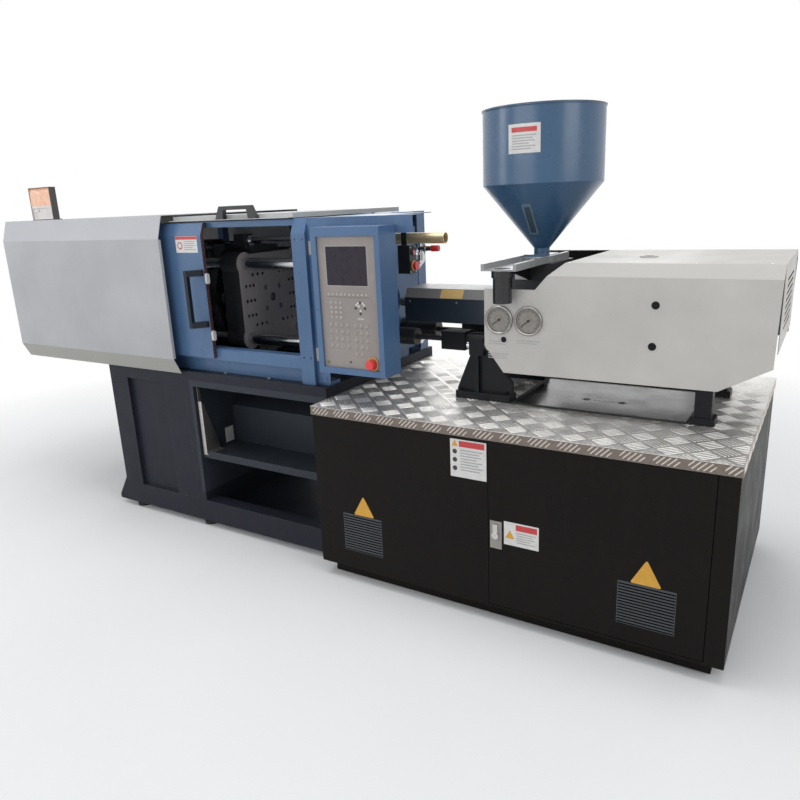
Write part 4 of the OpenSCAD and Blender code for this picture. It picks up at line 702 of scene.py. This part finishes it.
# Films on surfaces that face the operator
FILM, PRINT = 0.4, 0.2
DOT_R = 9


def plates(name, boxes, y, body, slot, mat, thick=FILM):
    """Thin films on one surface that faces the operator; boxes are (x0, x1, z0, z1)."""
    bm = bmesh.new()
    for x0, x1, z0, z1 in boxes:
        bm_box(bm, (x0, y - thick, z0), (x1, y, z1))
    add(name, bm, body, slot, mat)


def discs(name, spots, y, r, body, slot, mat, thick=FILM, segs=24):
    """Round films on one surface that faces the operator; spots are (x, z)."""
    bm = bmesh.new()
    for x, z in spots:
        bm_cyl(bm, (x, y, z), OPERATOR, r, thick, segs)
    add(name, bm, body, slot, mat)


def triangle(name, x0, x1, z0, z1, y, body):
    """A bare amber triangle of film with rounded corners."""
    bm = bmesh.new()
    corner_r, corner_in = (x1 - x0) * 0.045, 0.08
    middle = Vector(((x0 + x1) / 2, z0 + (z1 - z0) / 3))
    points = []
    for tip, facing in (((x0, z0), 210), ((x1, z0), -30), ((middle.x, z1), 90)):
        centre = Vector(tip).lerp(middle, corner_in)
        for turn in (-60, -30, 0, 30, 60):
            a = math.radians(facing + turn)
            points.append((centre.x + corner_r * math.cos(a), centre.y + corner_r * math.sin(a)))
    bm_prism(bm, points, y - FILM, y)
    add(name, bm, body, "amber_lens", FILM_AMBER)


def print_rows(x0, x1, z0, z1, rows):
    """Places of faint rows that stand for small print."""
    pitch = (z1 - z0) / rows
    lengths = (1.0, 0.86, 0.94, 0.72, 0.97, 0.80)
    row_top, row_foot = 0.20, 0.62
    return [(x0, x0 + (x1 - x0) * lengths[k % len(lengths)], z1 - (k + row_foot) * pitch,
             z1 - (k + row_top) * pitch) for k in range(rows)]


def label(name, body, y, field, bar, rows, sunk=0.0, mark=None, dots=()):
    """A bare label: a white field with a red bar and grey rows, and perhaps an amber mark and dots."""
    plates(name + "_field", [field], y + sunk, body, "white_cover", FILM_WHITE)
    plates(name + "_bar", [bar], y - FILM, body, "red_button", FILM_RED, PRINT)
    if mark:
        triangle(name + "_mark", *mark, y - PRINT, body)
    if dots:
        discs(name + "_dots", dots, y - FILM, DOT_R, body, "black_plastic", FILM_DARK, PRINT)
    plates(name + "_rows", print_rows(*rows), y - FILM, body, "grey_equipment", FILM_GREY, PRINT)


def cabinet_labels():
    """Labels of the cabinet and its door, and the triangles over the vents."""
    label("label_left", "frame", CABINET_FACE, field=(833, 973, 549, 691), bar=(868, 966, 664, 686),
          rows=(872, 960, 572, 656, 8), mark=(839, 863, 665, 687), dots=[(851, z) for z in (645, 614, 582)])
    label("label_door", "cabinet_door", CABINET_FACE, field=(1038, 1166, 326, 414),
          bar=(1082, 1160, 386, 408), rows=(1084, 1156, 336, 380, 5), sunk=0.01, mark=(1044, 1076, 352, 382))
    triangle("vent_mark_left", 395, 485, 308, 387, CABINET_FACE, "frame")
    triangle("vent_mark_right", 1478, 1570, 293, 377, CABINET_FACE, "cabinet_door")


def gate_label():
    """Label of the front gate, with a red ring on it."""
    body = "front_gate"
    face = corners(body)[0].y
    ring, ring_r, hole_r = [(-535, 1358)], 16, 11
    label("gate_label", body, face, field=(-561, -428, 1328, 1398), bar=(-560, -429, 1384, 1397),
          rows=(-508, -436, 1336, 1380, 5))
    discs("gate_label_dot", ring, face - FILM, ring_r, body, "red_button", FILM_RED, PRINT)
    discs("gate_label_hole", ring, face - FILM - PRINT, hole_r, body, "white_cover", FILM_WHITE, PRINT)


def curved_film(name, x0, x1, z0, z1, r, mat, slot):
    """Film bent round the hopper's wall, on the operator's side."""
    bm = bmesh.new()
    strips, half = 14, 0.3
    columns = []
    for i in range(strips + 1):
        x = x0 + (x1 - x0) * i / strips
        y = -math.sqrt(r * r - (x - HOPPER_X) ** 2)
        out = Vector((x - HOPPER_X, y, 0)).normalized()
        outline = ((-half, z0), (half, z0), (half, z1), (-half, z1))
        columns.append([bm.verts.new((Vector((x, y, z)) + out * t) * MM) for t, z in outline])
    for a, b in zip(columns, columns[1:]):
        for k in range(4):
            bm.faces.new((a[k], b[k], b[(k + 1) % 4], a[(k + 1) % 4]))
    bm.faces.new(list(reversed(columns[0])))
    bm.faces.new(columns[-1])
    bmesh.ops.recalc_face_normals(bm, faces=bm.faces)
    add(name, bm, "hopper", slot, mat)


def hopper_label():
    """Curved label on the hopper's wall."""
    print_r = HOPPER_R + 0.7
    curved_film("hopper_label_field", 916, 1030, 1646, 1742, HOPPER_R + 0.2, FILM_WHITE, "white_cover")
    curved_film("hopper_label_bar", 928, 1018, 1715, 1731, print_r, FILM_RED, "red_button")
    for k, row in enumerate(print_rows(930, 1016, 1655, 1708, 6)):
        curved_film("hopper_label_row_%d" % k, *row, print_r, FILM_GREY, "grey_equipment")


def sight_glass():
    """Pane of the sight window, let into its frame on the cone."""
    cone_top, neck_r, frame_foot = 1545, 30, 55
    neck_top = corners("hopper")[0].z + 30
    half_width, pane_foot, pane_top, pane_front, pane_back = 10.9, 8.1, 131.9, -1.6, -0.8
    slope = math.atan2(HOPPER_R - neck_r, cone_top - neck_top)
    foot = Vector((HOPPER_X, -neck_r - frame_foot * math.tan(slope), neck_top + frame_foot)) * MM
    turn = Matrix.Translation(foot) @ Matrix.Rotation(slope, 4, "X")
    bm = bmesh.new()
    bm_box(bm, (-half_width, pane_front, pane_foot), (half_width, pane_back, pane_top), turn)
    add("sight_glass", bm, "hopper", "clear_window", FILM_SIGHT)


def ring_of_spots(x, z, r, angles):
    """Places on a circle, at angles in degrees."""
    return [(x + r * math.cos(math.radians(a)), z + r * math.sin(math.radians(a))) for a in angles]


def screen(body, left, top, face):
    """Display glass and its border."""
    x0, x1, z0, z1 = left + 33, left + 221, top - 181, top - 33
    rim = 3
    glass = [(x0 + 2, x1 - 2, z0 + 2, z1 - 2)]
    plates("screen_glass", glass, face + 0.4, body, "black_plastic", FILM_SCREEN, 0.25)
    border = [(x0, x1, z1 - rim, z1), (x0, x1, z0, z0 + rim), (x0, x0 + rim, z0 + rim, z1 - rim),
              (x1 - rim, x1, z0 + rim, z1 - rim)]
    plates("screen_border", border, face + 0.3, body, "white_cover", FILM_FRAME, 0.3)


def keys(body, left, top, face):
    """Tops of the function, number and operation keys, with marks on and below them."""
    size, proud = 11, 1
    starts = [left + 34 + 19 * i for i in range(10)]
    function_keys = [(x, x + 10, top - 215, top - 207) for x in starts]
    number_places = [(left + 43 + 21 * i, top - 249 - 18 * j) for i in range(3) for j in range(4)]
    # seven columns in two blocks, with two keys in the last row
    pitch, rise, block_gap = 25.5, 27, 11
    operation_places = [(left + 36 + pitch * i + (block_gap if i > 3 else 0), top - 330.5 - rise * j)
                        for i in range(7) for j in range(5) if j < 4 or i in (4, 5)]
    number_keys, operation_keys = [[(x, x + size, z, z + size) for x, z in places]
                                   for places in (number_places, operation_places)]
    tops = [(x0 + 0.6, x1 - 0.6, z0 + 0.6, z1 - 0.6)
            for x0, x1, z0, z1 in function_keys + number_keys + operation_keys]
    plates("key_tops", tops, face - proud, body, "white_cover", FILM_KEY, 0.2)
    digits = [(x0 + 2.2, x1 - 2.2, z0 + 2, z0 + 4.4) for x0, x1, z0, z1 in number_keys]
    captions = [(x0 + 3, x1 + 2 - k % 3 * 2, z0 - 6, z0 - 2.5)
                for k, (x0, x1, z0, z1) in enumerate(operation_keys)]
    signs = [(x0 + 4 - k % 2, x1 - 2, z0 + 2.5, z1 - 4 + k % 3)
             for k, (x0, x1, z0, z1) in enumerate(operation_keys)]
    plates("key_marks", digits + signs, face - proud - 0.2, body, "black_plastic", FILM_BROWN, 0.15)
    plates("key_print", captions, face, body, "black_plastic", FILM_BROWN, 0.15)


def panel_details():
    """Screen, keys, arrows and marks of the control panel, and the ring of its stop button."""
    body = "control_box"
    lo, hi = corners("control_panel")
    left, top, face = lo.x, hi.z, lo.y + 3
    screen(body, left, top, face)
    keys(body, left, top, face)
    plates("function_rows", [(left + 30, left + 226, top - 222, top - 219)], face, body, "grey_equipment",
           FILM_BROWN, 0.2)
    x, z = left + 180, top - 260
    arrows = ring_of_spots(x, z, 20.5, (0, 90, 180, 270))
    pale_spots = ring_of_spots(x, z, 21, (35, 60, 120, 145)) + [(x, z - 9), (x - 7, z + 7)]
    discs("arrow_surround", pale_spots, face, 4.2, body, "white_cover", FILM_WHITE, 0.3, 20)
    plates("arrow_bar", [(x - 15, x + 14, z - 43, z - 36)], face, body, "white_cover", FILM_KEY, 0.3)
    discs("arrow_tops", arrows, face - 1, 5.2, body, "black_plastic", FILM_DARK, 0.3)
    mark = [(left + 10, left + 24, lo.z + 12, lo.z + 23)]
    plates("panel_mark", mark, face, body, "grey_equipment", FILM_GREEN)
    discs("panel_spot", [(left + 122, lo.z + 25)], face, 4.6, body, "black_plastic", FILM_DARK)
    # the ring is wider inside than the button's head, which sinks into it when pressed
    bm = bmesh.new()
    profile = [(20.8, 0), (26, 0), (26, 1.6), (24.6, 2.2), (20.8, 2.2)]
    bm_ring(bm, (hi.x - 35, lo.y, lo.z + 25), OPERATOR, profile)
    add("stop_ring", bm, body, "amber_lens", FILM_ORANGE)


def switch_details():
    """Ring, cap and screws of the small switch box."""
    lo, hi = corners("switch_box")
    y = (lo.y + hi.y) / 2
    bm = bmesh.new()
    bm_ring(bm, (hi.x - 2, y, lo.z + 30), RIGHT, [(9, 0), (20, 0), (20, 1.4), (9, 1.4)])
    add("mushroom_ring", bm, "frame", "amber_lens", FILM_YELLOW)
    bm = bmesh.new()
    bm_cyl(bm, (hi.x - 0.1, y, lo.z + 82), RIGHT, 9.5, 1.2)
    add("flush_button", bm, "frame", "red_button", FILM_PINK)
    bm = bmesh.new()
    for z in (lo.z + 7, lo.z + 103):
        for side in (-20, 20):
            bm_cyl(bm, (hi.x - 6, y + side, z), RIGHT, 3, 1.5, 14)
    add("switch_box_screws", bm, "frame", "latch_chrome")


def sleeve_fitting():
    """Plated elbow with a red cap under the open end of the sleeve."""
    lo, hi = corners("safety_bar_sleeve")
    x, y, z = hi.x - 118, (lo.y + hi.y) / 2, lo.z - 19
    bm = bmesh.new()
    bm_cyl(bm, (x, y, z - 48), UP, 9, 48)
    bm_cyl(bm, (x, y, z - 26), UP, 13, 12, 6)
    bm_cyl(bm, (x - 8, y, z), RIGHT, 10, 62)
    bm_cyl(bm, (x + 16, y, z), RIGHT, 14, 12, 6)
    bm_cyl(bm, (x, y, z - 6), UP, 7, 27, 20)
    add("sleeve_elbow", bm, "frame", "latch_chrome", bevel=0.0012)
    bm = bmesh.new()
    bm_cyl(bm, (x + 53, y, z), RIGHT, 13, 34, 28, 12)
    add("sleeve_cap", bm, "frame", "red_button", bevel=0.0015)


def dial(side, x, z, face):
    """Dial with ticks and a circle under a turned bezel."""
    front, bezel_foot = face - 2, face - 5.8
    bm = bmesh.new()
    bm_cyl(bm, (x, front, z), OPERATOR, 44.5, 0.2, 56)
    add("dial_" + side, bm, "carriage", "gauge_case", DIAL)
    bm = bmesh.new()
    ticks, first_angle, step, outer = 51, 225, 5.4, 38.5
    centre = Matrix.Translation(Vector((x, 0, z)) * MM)
    for k in range(ticks):
        length, half = (7, 0.9) if k % 5 == 0 else (3.5, 0.5)
        turn = centre @ Matrix.Rotation(-math.radians(first_angle - k * step), 4, "Y")
        bm_box(bm, (outer - length, front - 0.4, -half), (outer, front - 0.2, half), turn)
    add("dial_ticks_" + side, bm, "carriage", "black_plastic", FILM_DARK)
    bm = bmesh.new()
    bm_ring(bm, (x, front - 0.2, z), OPERATOR, [(14, 0), (17, 0), (17, 0.15), (14, 0.15)])
    add("dial_circle_" + side, bm, "carriage", "black_plastic", FILM_BROWN)
    bm = bmesh.new()
    profile = [(43, 0), (51.5, 0), (51.5, 1), (50, 2.6), (47.5, 3.2), (45, 2.4), (43, 0.8)]
    bm_ring(bm, (x, bezel_foot, z), OPERATOR, profile, 64)
    add("bezel_" + side, bm, "carriage", "gauge_case", bevel=0.0002)


def hood_details():
    """Dials, plugs, screws and faint print on the injection cover, and a tag on the throat block."""
    lo, hi = corners("injection_cover_front")
    gauge_lo, gauge_hi = corners("pressure_gauges")
    face, gauge_r = lo.y, 52
    gauge_z = (gauge_lo.z + gauge_hi.z) / 2
    dial("left", gauge_lo.x + gauge_r, gauge_z, face)
    dial("right", gauge_hi.x - gauge_r, gauge_z, face)
    bm = bmesh.new()
    stem = 2
    for x, z in ((1462, 1154), (1458, 1021)):
        bm_cyl(bm, (x, face + stem, z), OPERATOR, 10.6, stem, 28)
        bm_cyl(bm, (x, face, z), OPERATOR, 13, 2.6, 28, top_r=11.5)
    add("hood_plugs", bm, "carriage", "black_plastic", BLACK_CAP)
    bm = bmesh.new()
    x, z = 946, 1012
    bm_cyl(bm, (x, face + stem, z), OPERATOR, 8.6, stem)
    bm_cyl(bm, (x, face, z), OPERATOR, 10.5, 1.6, 24, top_r=9.5)
    add("indicator", bm, "carriage", "black_plastic", BLACK_CAP)
    bm = bmesh.new()
    screw_y = corners("injection_cover_top")[1].y - 6
    for y, places in ((-screw_y, (1161, 1363, 1565, 1775)), (screw_y, (900, 1300, 1700))):
        for x in places:
            bm_cyl(bm, (x, y, hi.z), UP, 5, 1.6, 20, top_r=3.6)
    add("hood_screws", bm, "carriage", "latch_chrome")
    rows = (print_rows(889, 963, 990, 1008, 2) + print_rows(997, 1083, 998, 1015, 2) +
            print_rows(885, 967, 939, 963, 3))
    plates("hood_print", rows, face, "carriage", "grey_equipment", FILM_GREY, 0.15)
    throat_face = -126
    plates("throat_tag", [(903, 951, 1202, 1232)], throat_face, "carriage", "white_cover", FILM_WHITE)


def guard_details():
    """Bare yellow sticker on the sloping edge of the barrel guard, and its screws."""
    lo, hi = corners("barrel_guard")
    low = Vector((0, lo.y, hi.z - 38))
    high = Vector((0, lo.y + 22, hi.z))
    slope = high - low
    out = Vector((0, -slope.z, slope.y)).normalized()
    bm = bmesh.new()
    block_faces(bm, [(low + slope * part + Vector((x, 0, 0)) + out * lift) * MM
                     for x in (563, 665) for part in (0.06, 0.94) for lift in (0.02, FILM)])
    bmesh.ops.recalc_face_normals(bm, faces=bm.faces)
    add("guard_sticker", bm, "carriage", "amber_lens", FILM_YELLOW)
    bm = bmesh.new()
    screw_z = hi.z - 52
    for x in (420, 640, 860):
        bm_cyl(bm, (x, lo.y, screw_z), OPERATOR, 4.5, 2.2, 18, top_r=3.6)
        bm_cyl(bm, (x, hi.y, screw_z), REAR, 4.5, 2.2, 18, top_r=3.6)
    add("guard_screws", bm, "carriage", "latch_chrome")


def support_bolts():
    """Hexagon heads on the feet of the rod supports, large at the platen and small at the far end."""
    lo, hi = corners("rod_supports")
    rod_y = 190
    large = ((lo.x + 15, lo.x + 209), 23, lo.z + 30, 7, 7)
    small = ((hi.x - 72, hi.x - 8), 28, lo.z + 26, 2.6, 4)
    bm = bmesh.new()
    for side in (-1, 1):
        for places, apart, foot, r, height in (large, small):
            for x in places:
                for across in (-apart, apart):
                    bm_cyl(bm, (x, side * rod_y + across, foot), UP, r, height, 6)
    add("support_bolts", bm, "frame", "black_casting", bevel=0.0006)


def post_screws():
    """Painted round heads on the post by the mould space and on the foot of the housing."""
    post_face, foot_face = corners("gate_frame")[0].y, -412
    bm = bmesh.new()
    for x in (96, 133):
        for z in (900, 1380):
            bm_cyl(bm, (x, post_face, z), OPERATOR, 5.5, 3.2, 20, top_r=4.2)
    for x in (165, 196):
        bm_cyl(bm, (x, foot_face, 815), OPERATOR, 5, 3, 20, top_r=4)
    add("post_screws", bm, "frame", "blue_paint", OWN["gate_frame"])


def base_bolts():
    """Hexagon heads along both edges of the base."""
    base = corners("clamp_base")[1]
    inset = 37
    bm = bmesh.new()
    for side in (-1, 1):
        for x in (-1100, -840, -380, -120, 90):
            bm_cyl(bm, (x, side * (base.y - inset), base.z), UP, 8, 5, 6)
    add("base_bolts", bm, "frame", "screw_steel", bevel=0.0006)


def bay_tag():
    """Bare white tag on the sloping wall of the bay."""
    bm = bmesh.new()
    bm_box(bm, (-569, -280, 385), (-568.2, -225, 460))
    add("bay_tag", bm, "frame", "white_cover", FILM_WHITE)


tread_deck()
cabinet_labels()
gate_label()
hopper_label()
sight_glass()
panel_details()
switch_details()
sleeve_fitting()
hood_details()
guard_details()
support_bolts()
post_screws()
base_bolts()
bay_tag()


# Floor, light and world, in metres and watts
def seen_rays(tree):
    """1 for rays that show the backdrop: camera, mirror and see-through ones."""
    path = tree.nodes.new("ShaderNodeLightPath")
    total = path.outputs["Is Camera Ray"]
    for name in ("Is Glossy Ray", "Is Transmission Ray"):
        most = tree.nodes.new("ShaderNodeMath")
        most.operation = "MAXIMUM"
        tree.links.new(total, most.inputs[0])
        tree.links.new(path.outputs[name], most.inputs[1])
        total = most.outputs[0]
    return total


def make_floor():
    """Pale floor that runs into the white backdrop with distance, and keeps the machine's shadow."""
    half_size, fade_from, fade_to = 40, 2.3, 4.2
    bm = bmesh.new()
    bmesh.ops.create_grid(bm, x_segments=1, y_segments=1, size=half_size)
    mesh = bpy.data.meshes.new("floor")
    bm.to_mesh(mesh)
    bm.free()
    obj = bpy.data.objects.new("floor", mesh)
    scene.collection.objects.link(obj)
    s = Shader("floor")
    col = s.ramp(s.noise(scale=0.8), [(0.3, (0.83, 0.83, 0.83)), (0.7, (0.86, 0.86, 0.86))])
    s.finish(col, 0.9, Specular_IOR_Level=0.1)
    distance = s.node("ShaderNodeVectorMath", operation="LENGTH")
    s.link(s.position(), distance.inputs[0])
    far = s.remap(distance.outputs["Value"], fade_from, fade_to)
    white = s.node("ShaderNodeEmission")
    white.inputs["Color"].default_value = (1, 1, 1, 1)
    mix = s.node("ShaderNodeMixShader")
    s.link(s.times(far, seen_rays(s.tree)), mix.inputs["Fac"])
    s.link(s.bsdf.outputs[0], mix.inputs[1])
    s.link(white.outputs[0], mix.inputs[2])
    s.link(mix.outputs[0], s.tree.nodes["Material Output"].inputs["Surface"])
    mesh.materials.append(s.mat)


def background(tree, col, strength):
    """World background of one colour."""
    made = tree.nodes.new("ShaderNodeBackground")
    made.inputs["Color"].default_value = (*col, 1)
    made.inputs["Strength"].default_value = strength
    return made.outputs[0]


def make_world():
    """Soft cool light all round, and a white backdrop where a ray looks at it."""
    world = bpy.data.worlds.new("world")
    scene.world = world
    world.use_nodes = True
    tree = world.node_tree
    tree.nodes.clear()
    mix = tree.nodes.new("ShaderNodeMixShader")
    tree.links.new(seen_rays(tree), mix.inputs["Fac"])
    tree.links.new(background(tree, (0.93, 0.96, 1.0), 0.50), mix.inputs[1])
    tree.links.new(background(tree, (1, 1, 1), 1.0), mix.inputs[2])
    out = tree.nodes.new("ShaderNodeOutputWorld")
    tree.links.new(mix.outputs[0], out.inputs["Surface"])


def area(name, place, target, power, width, height=None):
    """Area light at place, turned to target; square where no height is given."""
    data = bpy.data.lights.new(name, "AREA")
    data.energy = power
    data.size = width
    if height:
        data.shape = "RECTANGLE"
        data.size_y = height
    obj = bpy.data.objects.new(name, data)
    obj.location = place
    obj.rotation_euler = (Vector(target) - Vector(place)).to_track_quat("-Z", "Y").to_euler()
    scene.collection.objects.link(obj)


make_floor()
make_world()
area("overhead", (0.2, -0.6, 5.2), (0, 0, 0.8), power=122, width=5.5, height=3.0)
area("operator_side", (-0.5, -5.4, 2.6), (0, 0, 0.9), power=60, width=4.0, height=2.2)
area("window_side", (-4.6, -3.4, 2.6), (0.9, 0, 1.5), power=45, width=1.6, height=2.6)
area("right_end", (5.2, -1.4, 2.8), (0.6, 0, 1.0), power=45, width=2.4)
area("rear_side", (-1.2, 4.8, 3.4), (0, 0, 1.0), power=60, width=4.0)
scene.view_settings.view_transform = "Standard"
